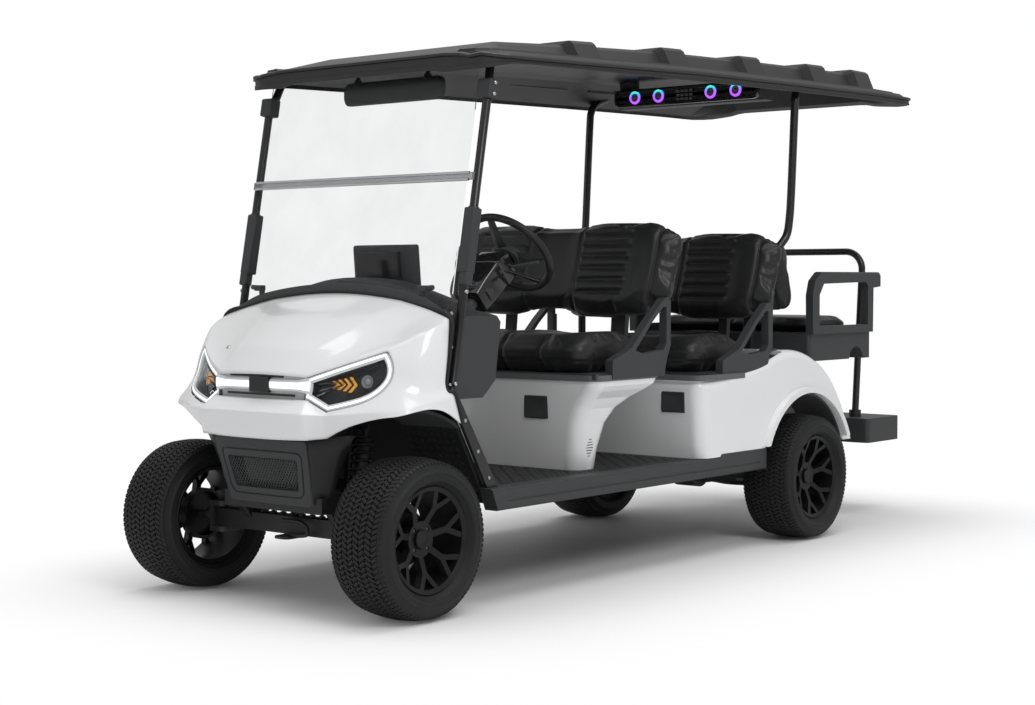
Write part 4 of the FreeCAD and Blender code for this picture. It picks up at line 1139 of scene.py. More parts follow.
def finish_pad(pad, cap, direction, depth_at):
    """Fills a pad with air, smooths it and carves its seams."""
    puff_up(pad, cap)
    relax(pad, 2)
    carve(pad, direction, depth_at)


def settle_pair(obj, body, *replaced):
    """Settles a piece of the first bench, and its copy on the second bench."""
    shift = Vector((-SEAT_PITCH, 0, -SEAT_DROP))
    twin = copy_shifted(obj, obj.name.replace("front", "middle"), shift)
    settle(obj, body, "seat_black", *replaced)
    settle(twin, body.replace("front", "middle"), "seat_black",
           *[node.replace("front", "middle") for node in replaced])
    return [obj, twin]


def build_rear_pads():
    """The rear-facing pair, plain with a welt round the front."""

    def even(across):
        return 0, 0, 1, 1

    def cushion_seams(point, facing, normal):
        middle_seam = groove(abs(point.y), 0.02, 0.006)
        return 0.004 * groove(point.z, 0.962, 0.005) * (1 - facing) + 0.003 * facing * middle_seam

    cushion = pad_form("seat_cushion_rear", 0.436, place(-3.091, 0, 0.948), AHEAD, UP, 0.222,
                       0.026, 9.0, even)
    finish_pad(cushion, 0.016, UP, cushion_seams)
    settle(cushion, "rear_seat_lid", "seat_black", "rear_cushion")
    lean = math.atan2(0.076, 0.364)
    along = Vector((math.sin(lean), 0, math.cos(lean)))
    out = Vector((-math.cos(lean), 0, math.sin(lean)))
    middle = place(-2.702, 0, 1.178)

    def back_seams(point, facing, normal):
        field = 1 - ramp(abs(point.y), 0.3, 0.34)
        return (facing * 0.8 * channel_relief((point - middle).dot(along)) * field
                + 0.004 * groove(abs(point.y), 0.385, 0.007))

    back = pad_form("seat_back_rear", 0.445, middle, along, out, 0.178, 0.044, 7.0, even)
    finish_pad(back, 0.020, out, back_seams)
    settle(back, "chassis", "seat_black", "rear_backrest")


# Tyres

TYRE_RADIUS = 0.2794
TREAD_HALF = 0.102
TREAD_ROWS = 8
TREAD_COUNT = 90
TREAD_PITCH = 2 * math.pi / TREAD_COUNT
TREAD_GAP = 0.0018
GAP_ANGLE = 0.0020 / TYRE_RADIUS
SHOULDER = 0.1035


def tyre_radius_at(across):
    """Radius of the crowned tread at a distance from the tyre's middle."""
    return TYRE_RADIUS - 0.009 * (across / 0.091) ** 2


def spoke(angle):
    """Direction away from the wheel's axis."""
    return Vector((math.cos(angle), 0, math.sin(angle)))


def lathe(bm, profile, centre, segments):
    """Turns a profile of (radius, across) points about the wheel's axis."""
    rings = []
    for k in range(segments):
        way = spoke(2 * math.pi * k / segments)
        rings.append([bm.verts.new(centre + way * r + ACROSS * y) for r, y in profile])
    for one, two in zip(rings, rings[1:] + rings[:1]):
        bridge(bm, one, two, False)


def add_tread_block(bm, centre, outline, depth):
    """A raised block given by (angle, across) corners, with a narrower top."""
    count = len(outline)
    middle_angle = sum(angle for angle, _ in outline) / count
    middle_across = sum(across for _, across in outline) / count
    rings = []
    for height, shrink in ((-depth, 1.0), (-0.0012, 1.0), (0.0, 0.93)):
        ring = []
        for angle, across in outline:
            y = middle_across + (across - middle_across) * shrink
            way = spoke(middle_angle + (angle - middle_angle) * shrink)
            ring.append(bm.verts.new(centre + way * (tyre_radius_at(y) + height) + ACROSS * y))
        rings.append(ring)
    for one, two in zip(rings, rings[1:]):
        bridge(bm, one, two)
    bm.faces.new(rings[-1])


def add_tread(bm, centre, direction, depth):
    """Rows of zigzag blocks round the tread."""
    width = 2 * TREAD_HALF / TREAD_ROWS
    zig = 0.0034
    for row in range(TREAD_ROWS):
        odd = row % 2
        left = -TREAD_HALF + row * width + TREAD_GAP
        right = -TREAD_HALF + (row + 1) * width - TREAD_GAP
        lean = direction * (1 if odd else -1) * TREAD_PITCH * 0.42
        zig_left = zig if row else 0.0
        zig_right = zig if row < TREAD_ROWS - 1 else 0.0
        for index in range(TREAD_COUNT):
            start = index * TREAD_PITCH + GAP_ANGLE + (0.5 * TREAD_PITCH if odd else 0)
            end = start + TREAD_PITCH - 2 * GAP_ANGLE
            middle = (start + end) / 2
            add_tread_block(bm, centre, [
                (start - lean, left - zig_left), (middle - lean, left + zig_left),
                (end - lean, left - zig_left), (end + lean, right - zig_right),
                (middle + lean, right + zig_right), (start + lean, right - zig_right),
            ], depth + 0.001)


def add_shoulder_blocks(bm, centre, side):
    """Short blocks round one shoulder of the tyre."""
    for index in range(TREAD_COUNT):
        start = index * TREAD_PITCH + GAP_ANGLE
        end = start + TREAD_PITCH - 3 * GAP_ANGLE
        rows = []
        for lift in (-0.004, 0.0015):
            row = []
            for angle, y in rectangle(start, end, SHOULDER, SHOULDER + 0.010):
                radius = TYRE_RADIUS - 0.0125 - (y - SHOULDER) * 0.55 + lift
                row.append(bm.verts.new(centre + spoke(angle) * radius + ACROSS * (side * y)))
            rows.append(row)
        bridge(bm, *rows)
        bm.faces.new(rows[1])


def tyre_mesh(name, centre, direction):
    """Carcass with ribbed sidewalls under the blocks of the tread."""
    bm = bmesh.new()
    depth = sizes().tread
    half = 0.125
    bead = 0.091
    heel = 0.1868
    tread = TYRE_RADIUS
    wall = [(heel - 0.006, bead), (heel + 0.004, bead + 0.012), (heel + 0.012, half - 0.009),
            (heel + 0.016, half - 0.0035), (heel + 0.020, half - 0.004),
            (heel + 0.026, half - 0.001), (heel + 0.040, half - 0.0018),
            (heel + 0.042, half - 0.0002), (heel + 0.046, half - 0.0004),
            (heel + 0.048, half - 0.003), (tread - 0.034, half - 0.009),
            (tread - 0.024, half - 0.0115), (tread - 0.0165, half - 0.0155),
            (tread - 0.012, 0.0985)]
    crown = [(tyre_radius_at(y) - depth, y) for y in (0.094, 0.06, 0.03, 0.0)]
    side = wall + crown
    lathe(bm, side + [(r, -y) for r, y in reversed(side[:-1])], centre, 96)
    add_tread(bm, centre, direction, depth)
    for sign in (1, -1):
        add_shoulder_blocks(bm, centre, sign)
    return bmesh_piece(name, bm, "tyre", 28)


def wheels():
    """Body, end, hand, side and axis point of each wheel."""
    for end in ("front", "rear"):
        for hand, side in SIDES:
            body = f"{end}_wheel_{hand}"
            yield body, end, hand, side, Vector(joint(f"{body}_spin")["pos_m"])


class CART_OT_tyres(bpy.types.Operator):
    """Builds the four tyres with their zigzag tread"""

    bl_idname = "cart.tyres"
    bl_label = "Tyres"

    def execute(self, context):
        for body, end, hand, side, spin in wheels():
            low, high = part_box(f"{end}_tyre_{hand}")
            centre = Vector((spin.x, (low.y + high.y) / 2, spin.z))
            tyre = tyre_mesh(f"{end}_tyre_tread_{hand}", centre, side)
            settle(tyre, body, "tyre", f"{end}_tyre_{hand}")
        return {"FINISHED"}


# Trim and small parts

def rounded_loop(corners, radius, steps=5):
    """A flat loop through four or more (u, v) corners, each rounded by an arc."""
    loop = []
    count = len(corners)
    for k in range(count):
        before = Vector(corners[k - 1])
        corner = Vector(corners[k])
        after = Vector(corners[(k + 1) % count])
        start = corner + (before - corner).normalized() * radius
        end = corner + (after - corner).normalized() * radius
        for step in range(steps + 1):
            t = step / steps
            point = start * (1 - t) ** 2 + corner * (2 * t * (1 - t)) + end * t ** 2
            loop.append((point[0], point[1]))
    return loop


GRILLE_TOP = 0.606
GRILLE_LOW = 0.364
GRILLE_LEAN = 0.059
SHEET_LOW = 0.424


def grille_share(height):
    return (height - GRILLE_LOW) / (GRILLE_TOP - GRILLE_LOW)


def grille_place(across, height, proud):
    """A point on the leaning face of the lower grille."""
    return place(0.129 + GRILLE_LEAN * grille_share(height) + proud, across, height)


def grille_ring(top_half, low_half, top, low, proud, radius):
    corners = [(-low_half, low), (low_half, low), (top_half, top), (-top_half, top)]
    return [grille_place(u, v, proud - 0.16 * u * u) for u, v in rounded_loop(corners, radius, 6)]


def build_grille():
    """Frame of the lower grille, with its sheet, a black backing of painted shade behind the holes, and side
    plates.
    """
    rings = [grille_ring(*row) for row in (
        (0.236, 0.210, GRILLE_TOP, GRILLE_LOW + 0.002, -0.03, 0.012),
        (0.239, 0.213, GRILLE_TOP, GRILLE_LOW, 0.002, 0.014),
        (0.234, 0.208, GRILLE_TOP - 0.003, GRILLE_LOW + 0.005, 0.008, 0.016),
        (0.208, 0.186, 0.566, 0.397, 0.009, 0.03), (0.206, 0.184, 0.564, 0.399, 0.004, 0.03),
        (0.203, 0.181, 0.561, 0.402, 0.004, 0.03), (0.201, 0.179, 0.559, 0.404, 0.009, 0.03),
        (0.178, 0.160, 0.536, 0.423, 0.008, 0.012), (0.174, 0.156, 0.532, 0.427, -0.004, 0.012),
        (0.172, 0.154, 0.530, 0.429, -0.014, 0.012))]
    add_ring_piece("grille_frame", rings, "trim_charcoal", "trim_charcoal", "lower_grille",
                   close=False, angle=30)
    build_grille_sheet()
    # black sheet behind the holes: painted shade of the space behind the grille
    backing = [grille_ring(0.18, 0.16, 0.54, 0.419, -0.026, 0.01)]
    add_ring_piece("grille_shade_backing", backing, "light_bar_black", "light_bar_black")
    build_grille_plates()


def build_grille_sheet():
    """Perforated sheet with diamond holes."""
    bm = bmesh.new()
    pitch = 0.0138
    rise = 0.0092
    known = {}

    def lattice(i, j):
        if (i, j) not in known:
            known[i, j] = bm.verts.new(grille_place(i * pitch / 2, SHEET_LOW + j * rise, -0.002))
        return known[i, j]

    for j in range(1, 12):
        half = 0.154 + (SHEET_LOW + j * rise - 0.429) * 0.2
        reach = int(half / (pitch / 2))
        for i in range(-reach, reach + 1):
            if (i + j) % 2 == 0:
                bm.faces.new((lattice(i - 1, j), lattice(i, j - 1), lattice(i + 1, j),
                              lattice(i, j + 1)))
    add_piece("grille_sheet", bm, "grille_mesh", "light_bar_black", angle=60,
              WIREFRAME={"thickness": 0.0036, "use_even_offset": False})


def build_grille_plates():
    """Plates from the grille's frame out to the wheel arches."""
    edges = ((0.382, 0.208, 0.252, 0.085), (0.436, 0.214, 0.278, 0.086),
             (0.500, 0.220, 0.306, 0.088), (0.566, 0.227, 0.345, 0.094),
             (0.628, 0.232, 0.385, 0.100))
    for hand, side in SIDES:
        bm = bmesh.new()
        rows = []
        for height, inner, outer, outer_ahead in edges:
            front = 0.125 + GRILLE_LEAN * grille_share(height)
            row = []
            for t in (step / 5 for step in range(6)):
                ahead = front + (outer_ahead - front) * t ** 1.25
                across = side * (inner + (outer - inner) * t)
                row.append(bm.verts.new(place(ahead, across, height)))
            rows.append(row)
        for one, two in zip(rows, rows[1:]):
            bridge(bm, one, two, False)
        add_piece(f"grille_plate_{hand}", bm, "frame_black", "trim_charcoal", angle=40,
                  SOLIDIFY={"thickness": 0.006, "offset": 0})


def mirrored_line(half, steps):
    """A rounded line over both sides, from one side's points with the middle first."""
    return smooth_line([Vector((p.x, -p.y, p.z)) for p in half[:0:-1]] + half, steps)


def build_cowl_trim():
    """Rubber edging behind the hood and down the cowl's sides, with its bolts."""
    half = HOOD_ROWS[0] + tuple(row[0] for row in SIDE_ROWS)
    line = mirrored_line([place(a - 0.006, y, z + 0.002) for a, y, z in half], 5)
    bm = bmesh.new()
    add_sweep(bm, line, [(-0.012, -0.005), (0.006, -0.006), (0.009, 0.0), (0.006, 0.006),
                         (-0.012, 0.005)])
    add_piece("cowl_edging", bm, "frame_black", "frame_black", angle=50)
    build_dash_crown()
    bm = bmesh.new()
    for ahead, across, height in ((-0.196, 0.570, 1.045), (-0.166, 0.596, 0.930),
                                  (-0.151, 0.601, 0.800)):
        for side in (1, -1):
            add_bolt(bm, place(ahead, side * across, height), Vector((-0.1, side, 0.15)), 0.006)
    add_bolt(bm, place(0.0545, -0.3018, 0.9144), Vector((0.61, -0.23, 0.76)), 0.009)
    add_piece("cowl_bolts", bm, "bare_steel", "bare_steel")


def build_dash_crown():
    """The dark lip behind the hood, and the hump of the dash behind the windshield."""
    lip = []
    hump = []
    for point in mirrored_line([place(*point) for point in HOOD_ROWS[0]], 6):
        fall = 1 - ramp(abs(point.y), 0.40, 0.575)
        lip.append([point + Vector((ahead, 0, rise)) for ahead, rise in (
            (-0.004, -0.012), (-0.005, 0.006 + 0.022 * fall), (-0.009, 0.010 + 0.024 * fall),
            (-0.015, 0.010 + 0.024 * fall), (-0.018, 0.004 + 0.020 * fall), (-0.018, -0.012))])
        if abs(point.y) < 0.50:
            swell = 0.030 * (1 - ramp(abs(point.y - 0.03), 0.10, 0.42))
            top = point.z + 0.026 + swell
            hump.append([place(ahead, point.y, height) for ahead, height in (
                (-0.262, point.z - 0.010), (-0.268, top - 0.016), (-0.285, top - 0.003),
                (-0.320, top), (-0.380, top - 0.004), (-0.418, top - 0.020),
                (-0.430, point.z - 0.020))])
    for name, rows in (("dash_lip", lip), ("dash_hump", hump)):
        add_ring_piece(name, rows, "trim_charcoal", "trim_charcoal", close_first=True, angle=50)


def add_bolt(bm, where, way, radius):
    """A domed button head with a hexagon socket."""
    way = way.normalized()
    side = way.orthogonal().normalized()
    profile = ((1.0, -0.35), (1.0, 0.1), (0.88, 0.38), (0.6, 0.55), (0.42, 0.58), (0.4, 0.25))
    add_rings(bm, [circle_ring(where + way * (lift * radius), side, way.cross(side),
                               share * radius, share * radius, 12) for share, lift in profile])


def add_lug(bm, centre, along, up, odd, height):
    """A low diamond stud at 45 degrees, crosswise to its neighbours."""
    turn = math.pi / 4 if odd else -math.pi / 4
    c, d = math.cos(turn), math.sin(turn)
    a = (along * c + ACROSS * d) * 0.0125
    b = (ACROSS * c - along * d) * 0.0045
    low = [bm.verts.new(centre + v) for v in (a, b, -a, -b)]
    top = [bm.verts.new(centre + v * 0.7 + up * height) for v in (a, b, -a, -b)]
    bridge(bm, low, top)
    bm.faces.new(top)


def build_floor_lugs():
    """Raised diamonds on the floor mat and the toe board."""
    bm = bmesh.new()
    pitch = 0.033
    deck = 0.4192
    count = int(1.11 / pitch)
    columns = [(j - (count - 1) / 2) * pitch for j in range(count)]
    for i in range(int(1.30 / pitch)):
        station = 0.395 + i * pitch
        for j, y in enumerate(columns):
            if 1.005 < station < 1.18 and abs(y) < 0.50:
                continue
            add_lug(bm, place(-station, y, deck), AHEAD, UP, (i + j) % 2, 0.0022)
    slope = (place(-0.215, 0, 0.705) - place(-0.384, 0, 0.419)).normalized()
    normal = Vector((-slope.z, 0, slope.x))
    for i in range(9):
        for j, y in enumerate(columns):
            centre = place(-0.384, y, 0.419) + slope * (0.02 + i * pitch)
            add_lug(bm, centre, slope, normal, (i + j) % 2, 0.0022)
    add_piece("floor_mat_lugs", bm, "floor_mat", "floor_mat")


def build_underside_lugs():
    """The diamond pattern that shows through the front arches on the toe board's face."""
    bm = bmesh.new()
    slope = (place(-0.200, 0, 0.700) - place(-0.365, 0, 0.407)).normalized()
    normal = Vector((slope.z, 0, -slope.x))
    pitch = 0.030
    for side in (1, -1):
        for i in range(9):
            for j in range(8):
                foot = place(-0.365, side * (0.31 + j * pitch), 0.407)
                centre = foot + slope * (0.03 + i * pitch) + normal * 0.0004
                add_lug(bm, centre, slope, normal, (i + j) % 2, 0.0025)
    add_piece("toe_board_lugs", bm, "frame_black", "frame_black")


def node_tree_of(name):
    return BVHTree.FromObject(frame["nodes"][name], bpy.context.evaluated_depsgraph_get())


def build_cooling_slot_shade():
    """Black strips of painted shade where the slots in the sides of the pod lie, short at the top and the bottom.
    """
    tree = node_tree_of("front_pod")
    bm = bmesh.new()
    for k, half in enumerate((0.008, 0.014, 0.019, 0.022, 0.019, 0.014, 0.008)):
        for side in (1, -1):
            start = place(-1.092, side * 1.2, 0.474 + 0.0108 * k)
            where, normal = tree.ray_cast(start, Vector((0, -side, 0)))[:2]
            if where is None:
                raise RuntimeError("the pod has no side under its cooling slots")
            along = UP.cross(normal).normalized()
            turn = Matrix((along, normal.cross(along), normal)).transposed().to_4x4()
            add_box(bm, where, (2 * half, 0.0034, 0.0012), turn)
    # black strips: painted shade for the slot openings
    add_piece("pod_cooling_slot_shade", bm, "light_bar_black", "light_bar_black")


def build_hatch_faces():
    """Grained doors with a raised edge on the pod and the rear body."""
    bm = bmesh.new()
    for door, ahead in (((0.239, 0.355, 0.617, 0.707), -1.0085),
                        ((0.418, 0.534, 0.608, 0.695), -1.7035)):
        add_rings(bm, [
            [place(ahead + proud, u, v) for u, v in rounded_loop(rectangle(*door, inset), 0.011)]
            for inset, proud in ((0.0, -0.008), (0.0, 0.0015), (0.003, 0.003), (0.008, 0.003),
                                 (0.010, 0.0018))])
    add_piece("hatch_faces", bm, "trim_charcoal", "trim_charcoal", "hatches")


def build_seat_strips():
    """Strips under the two forward cushions; the second one is open to the rear."""
    for name, front, rear, half, top in (("front", 1.0, 1.434, 0.602, 0.7775),
                                         ("middle", 1.70, 2.04, 0.613, 0.7495)):
        corners = [(-front, half), (-front, -half), (-rear, -half), (-rear, half)]
        flat = rounded_loop(corners, 0.055, 8)
        closed = name == "front"
        if not closed:
            front_bend = [point for point in flat if point[0] > -front - 0.06]
            flat = [(-rear, half)] + front_bend + [(-rear, -half)]
        bm = bmesh.new()
        add_sweep(bm, [place(u, v, top + 0.004) for u, v in flat],
                  [(-0.006, -0.012), (0.005, -0.012), (0.007, -0.004), (0.007, 0.006),
                   (0.004, 0.011), (-0.006, 0.011)], closed)
        add_piece(f"seat_strip_{name}", bm, "strip_grey", "trim_charcoal", angle=40)


POST_FOOT = (-0.200, 0.760)
POST_KNEE = (-0.397, 1.800)


def post_place(height, across, ahead=0.0):
    share = (height - POST_FOOT[1]) / (POST_KNEE[1] - POST_FOOT[1])
    return place(POST_FOOT[0] + share * (POST_KNEE[0] - POST_FOOT[0]) + ahead, across, height)


def build_post_clamps():
    """Clamps and sleeves on the windshield posts."""
    way = (post_place(1.8, 0) - post_place(0.8, 0)).normalized()
    turn = way.to_track_quat("Z", "X").to_matrix().to_4x4()
    bm = bmesh.new()
    for side in (1, -1):
        for height, across, ahead, size in ((1.838, 0.560, 0.0, (0.050, 0.062, 0.070)),
                                            (1.300, 0.560, 0.0, (0.044, 0.050, 0.235)),
                                            (1.165, 0.566, 0.002, (0.036, 0.040, 0.05))):
            add_box(bm, post_place(height, side * across, ahead), size, turn)
    add_piece("post_clamps", bm, "trim_charcoal", "trim_charcoal",
              BEVEL={"width": 0.006, "segments": 3})


def build_post_bolts():
    """Bolts on the posts and down the cowl's rear edge."""
    bm = bmesh.new()
    for side in (1, -1):
        for height, across, ahead in ((1.120, 0.580, 0.004), (0.800, 0.586, 0.012),
                                      (1.82, 0.593, 0.0), (1.86, 0.593, 0.0)):
            add_bolt(bm, post_place(height, side * across, ahead), Vector((0.15, side, 0)), 0.0075)
        for share in (0.30, 0.62, 0.9):
            where = place(-0.185 - 0.215 * share, side * 0.5845, 0.775 - 0.355 * share)
            add_bolt(bm, where, Vector((0, side, 0)), 0.007)
    add_piece("post_bolts", bm, "bare_steel", "bare_steel")


def build_windshield_hardware():
    """Thumb knobs at the windshield's foot and the two rails of its fold."""
    bm = bmesh.new()
    for side in (1, -1):
        base = place(-0.216, side * 0.412, 1.105)
        add_rod(bm, base, base + UP * 0.022, 0.011)
        add_rod(bm, base + UP * 0.024, base + Vector((0, side * 0.055, 0.030)), 0.011, 0.009)
        add_box(bm, base + Vector((0, side * 0.012, 0.026)), (0.03, 0.034, 0.022))
    add_piece("windshield_knobs", bm, "trim_charcoal", "trim_charcoal",
              BEVEL={"width": 0.003, "segments": 2})
    bm = bmesh.new()
    for height in (1.516, 1.540):
        add_rod(bm, post_place(height, -0.548, 0.030), post_place(height, 0.548, 0.030), 0.005)
    add_piece("windshield_hinge_rails", bm, "bare_steel", "bare_steel", angle=40)


def helix(bm, start, end, coil_radius, wire, turns, steps=14):
    """A coil spring between two points."""
    run = end - start
    way = run.normalized()
    side = way.orthogonal().normalized()
    up = way.cross(side)
    line = []
    for k in range(turns * steps + 1):
        angle = 2 * math.pi * k / steps
        around = (side * math.cos(angle) + up * math.sin(angle)) * coil_radius
        line.append(start + run * (k / (turns * steps)) + around)
    add_sweep(bm, line, circle_profile(wire, 8))


def build_springs():
    """Coil springs on the front dampers, the studs over the front beam and the tow hook."""
    bm = bmesh.new()
    for side in (1, -1):
        low = place(0.008, side * 0.290, 0.3054)
        high = place(-0.070, side * 0.275, 0.640)
        way = (high - low).normalized()
        helix(bm, low + way * 0.055, high - way * 0.035, 0.036, 0.0055, 9)
    add_piece("front_springs", bm, "frame_black", "frame_black", angle=60)
    bm = bmesh.new()
    for k in range(8):
        foot = place(0.0, -0.175 + 0.05 * k, 0.3115)
        for low, high, radius, end_radius, segments in (
                (0, 0.034, 0.007, 0.006, 12), (0, 0.008, 0.013, 0.013, 6),
                (0.020, 0.028, 0.012, 0.012, 6)):
            add_rod(bm, foot + UP * low, foot + UP * high, radius, end_radius, segments)
    add_piece("beam_studs", bm, "cast_grey", "bare_steel")
    bm = bmesh.new()
    line = [place(*point) for point in (
        (0.052, -0.02, 0.300), (0.060, 0.06, 0.302), (0.062, 0.105, 0.290),
        (0.060, 0.112, 0.262), (0.058, 0.085, 0.252), (0.056, 0.03, 0.250))]
    add_sweep(bm, smooth_line(line, 6), circle_profile(0.007, 10))
    add_piece("tow_hook", bm, "frame_black", "frame_black", angle=60)


def roof_edge(tree, outer, inner):
    """Where the roof begins on a line from outside inwards, with its two heights."""
    steps = 24
    for k in range(steps):
        point = outer.lerp(inner, k / steps)
        top = tree.ray_cast(point + Vector((0, 0, 1)), Vector((0, 0, -1)))[0]
        if top is not None:
            below = tree.ray_cast(point - Vector((0, 0, 1)), Vector((0, 0, 1)))[0]
            return point, top.z, below.z
    raise RuntimeError("the roof has no edge on this line")


def build_roof_rim():
    """Stepped lip round the roof, deepest over the windshield."""
    low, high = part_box("roof")
    tree = node_tree_of("roof")
    corners = [(high.x, -high.y), (high.x, high.y), (low.x, high.y), (low.x, -high.y)]
    loop = [Vector((u, v, high.z)) for u, v in rounded_loop(corners, 0.10, 8)]
    loop = resample(loop, 220)
    rows = []
    count = len(loop)
    for k, point in enumerate(loop):
        run = (loop[(k + 1) % count] - loop[k - 1]).normalized()
        away = Vector((run.y, -run.x, 0))
        edge, top, below = roof_edge(tree, point + away * 0.01, point - away * 0.08)
        front = max(0.0, away.x)
        back = max(0.0, -away.x)
        out = 0.010 + 0.024 * front + 0.040 * back
        drop = 0.014 + 0.020 * front
        base = Vector((edge.x, edge.y, 0))
        rows.append([base + away * a + Vector((0, 0, z)) for a, z in (
            (-0.016, top + 0.0012), (out * 0.6, top - 0.002), (out, top - 0.008),
            (out, top - 0.017), (out - 0.008, top - 0.020), (out - 0.009, below - drop * 0.4),
            (out - 0.006, below - drop * 0.55), (out - 0.007, below - drop),
            (out - 0.012, below - drop), (-0.002, below + 0.002))])
    bm = bmesh.new()
    add_rings(bm, rows + rows[:1], False)
    bmesh.ops.remove_doubles(bm, verts=bm.verts, dist=0.00005)
    add_piece("roof_rim", bm, "roof_black", "roof_black")


def build_rear_posts():
    """Bent tubes that carry the roof behind the second seat, on round feet."""
    bm = bmesh.new()
    foot_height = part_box("rear_posts")[0].z
    bends = ((-2.395, 0.520, foot_height), (-2.396, 0.521, 1.060), (-2.400, 0.526, 1.200),
             (-2.425, 0.544, 1.292), (-2.472, 0.562, 1.356), (-2.488, 0.568, 1.430),
             (-2.500, 0.570, 1.560), (-2.524, 0.570, 1.900), (-2.534, 0.568, 1.978),
             (-2.570, 0.561, 2.022), (-2.628, 0.547, 2.046))
    for side in (1, -1):
        path = [place(ahead, side * across, height) for ahead, across, height in bends]
        add_sweep(bm, smooth_line(path, 6), circle_profile(0.0180, 18))
        add_rod(bm, path[0], path[0] + UP * 0.008, 0.042, 0.040, 28)
    add_piece("rear_post_tubes", bm, "post_black", "post_black", "rear_posts", angle=40)


class CART_OT_trim(bpy.types.Operator):
    """Builds the grille, edging, mats, strips, bolts and springs"""

    bl_idname = "cart.trim"
    bl_label = "Trim"

    def execute(self, context):
        build_grille()
        build_cowl_trim()
        build_floor_lugs()
        build_underside_lugs()
        build_cooling_slot_shade()
        build_hatch_faces()
        build_seat_strips()
        build_post_clamps()
        build_post_bolts()
        build_windshield_hardware()
        build_springs()
        build_roof_rim()
        build_rear_posts()
        return {"FINISHED"}


# Controls

def wheel_frame():
    """Centre of the steering wheel, its axis, and a direction up in its plane."""
    axis = Vector(joint("steering_turn")["axis"]).normalized()
    if axis.z < 0:
        axis = -axis
    return place(-0.850, 0.290, 1.265), axis, axis.cross(ACROSS)


def build_steering_wheel():
    """Rim with swollen grips, and the spokes and hub that turn with it."""
    centre, axis, up = wheel_frame()
    bm = bmesh.new()
    radius = 0.178
    count = 72
    line = circle_ring(centre, ACROSS, up, radius, radius, count)
    for k, ring in enumerate(add_sweep(bm, line, circle_profile(0.0148, 14), True)):
        angle = 2 * math.pi * k / count
        swell = max(1 - abs(angle - grip) / 0.32 for grip in (0.35, math.pi - 0.35))
        for vert in ring:
            vert.co += (vert.co - line[k]) * (0.28 * ramp(swell, 0, 1))
    add_piece("steering_wheel_rim", bm, "wheel_grip", "wheel_grip", "steering_wheel",
              body="steering", angle=60)
    bm = bmesh.new()
    for turn in (0.12, math.pi - 0.12, 1.5 * math.pi):
        way = ACROSS * math.cos(turn) + up * math.sin(turn)
        wide = axis.cross(way)
        line = [centre + way * r - axis * drop for r, drop in
                ((0.028, 0.020), (0.07, 0.020), (0.12, 0.012), (0.170, 0.001))]
        rows = []
        for k, point in enumerate(smooth_line(line, 5)):
            width = 0.03 - 0.0009 * k
            rows.append([point + wide * width + axis * 0.002, point + axis * 0.006,
                         point - wide * width + axis * 0.002, point - axis * 0.007])
        add_rings(bm, rows)
    add_rings(bm, [circle_ring(centre + axis * lift, ACROSS, up, size * 1.15, size * 0.9)
                   for lift, size in ((-0.034, 0.040), (-0.03, 0.052), (-0.014, 0.060),
                                      (-0.004, 0.056), (0.002, 0.044), (0.004, 0.02))])
    add_rod(bm, centre - axis * 0.118, centre - axis * 0.03, 0.0125)
    add_piece("steering_wheel_spokes", bm, "trim_charcoal", "wheel_grip", body="steering",
              angle=40)


def build_column():
    """Moulded shroud below the wheel, with its levers."""
    centre, axis, up = wheel_frame()

    def section(down, wide, tall, shift, radius):
        corners = rectangle(-wide, wide, -tall, tall)
        return [centre - axis * down + ACROSS * u + up * (v + shift)
                for u, v in rounded_loop(corners, radius, 6)]

    sections = [section(*row) for row in (
        (0.060, 0.030, 0.030, -0.004, 0.016), (0.062, 0.062, 0.052, -0.006, 0.022),
        (0.072, 0.068, 0.058, -0.008, 0.022), (0.130, 0.068, 0.062, -0.010, 0.020),
        (0.136, 0.064, 0.058, -0.010, 0.020), (0.140, 0.066, 0.062, -0.010, 0.020),
        (0.225, 0.058, 0.056, -0.006, 0.018), (0.285, 0.050, 0.050, 0.0, 0.018),
        (0.290, 0.044, 0.044, 0.0, 0.016))]
    add_ring_piece("column_shroud", sections, "light_bar_black", "trim_charcoal", angle=40)
    bm = bmesh.new()
    for side, reach, rise in ((1, 0.130, 0.055), (-1, 0.070, 0.030)):
        root = centre - axis * 0.105 + ACROSS * (side * 0.060)
        tip = root + ACROSS * (side * reach) + up * rise
        add_rod(bm, root, root.lerp(tip, 0.55), 0.0065, 0.0055, 12)
        add_rod(bm, root.lerp(tip, 0.5), tip, 0.0085, 0.0105, 12)
    add_piece("column_levers", bm, "light_bar_black", "trim_charcoal", angle=40)


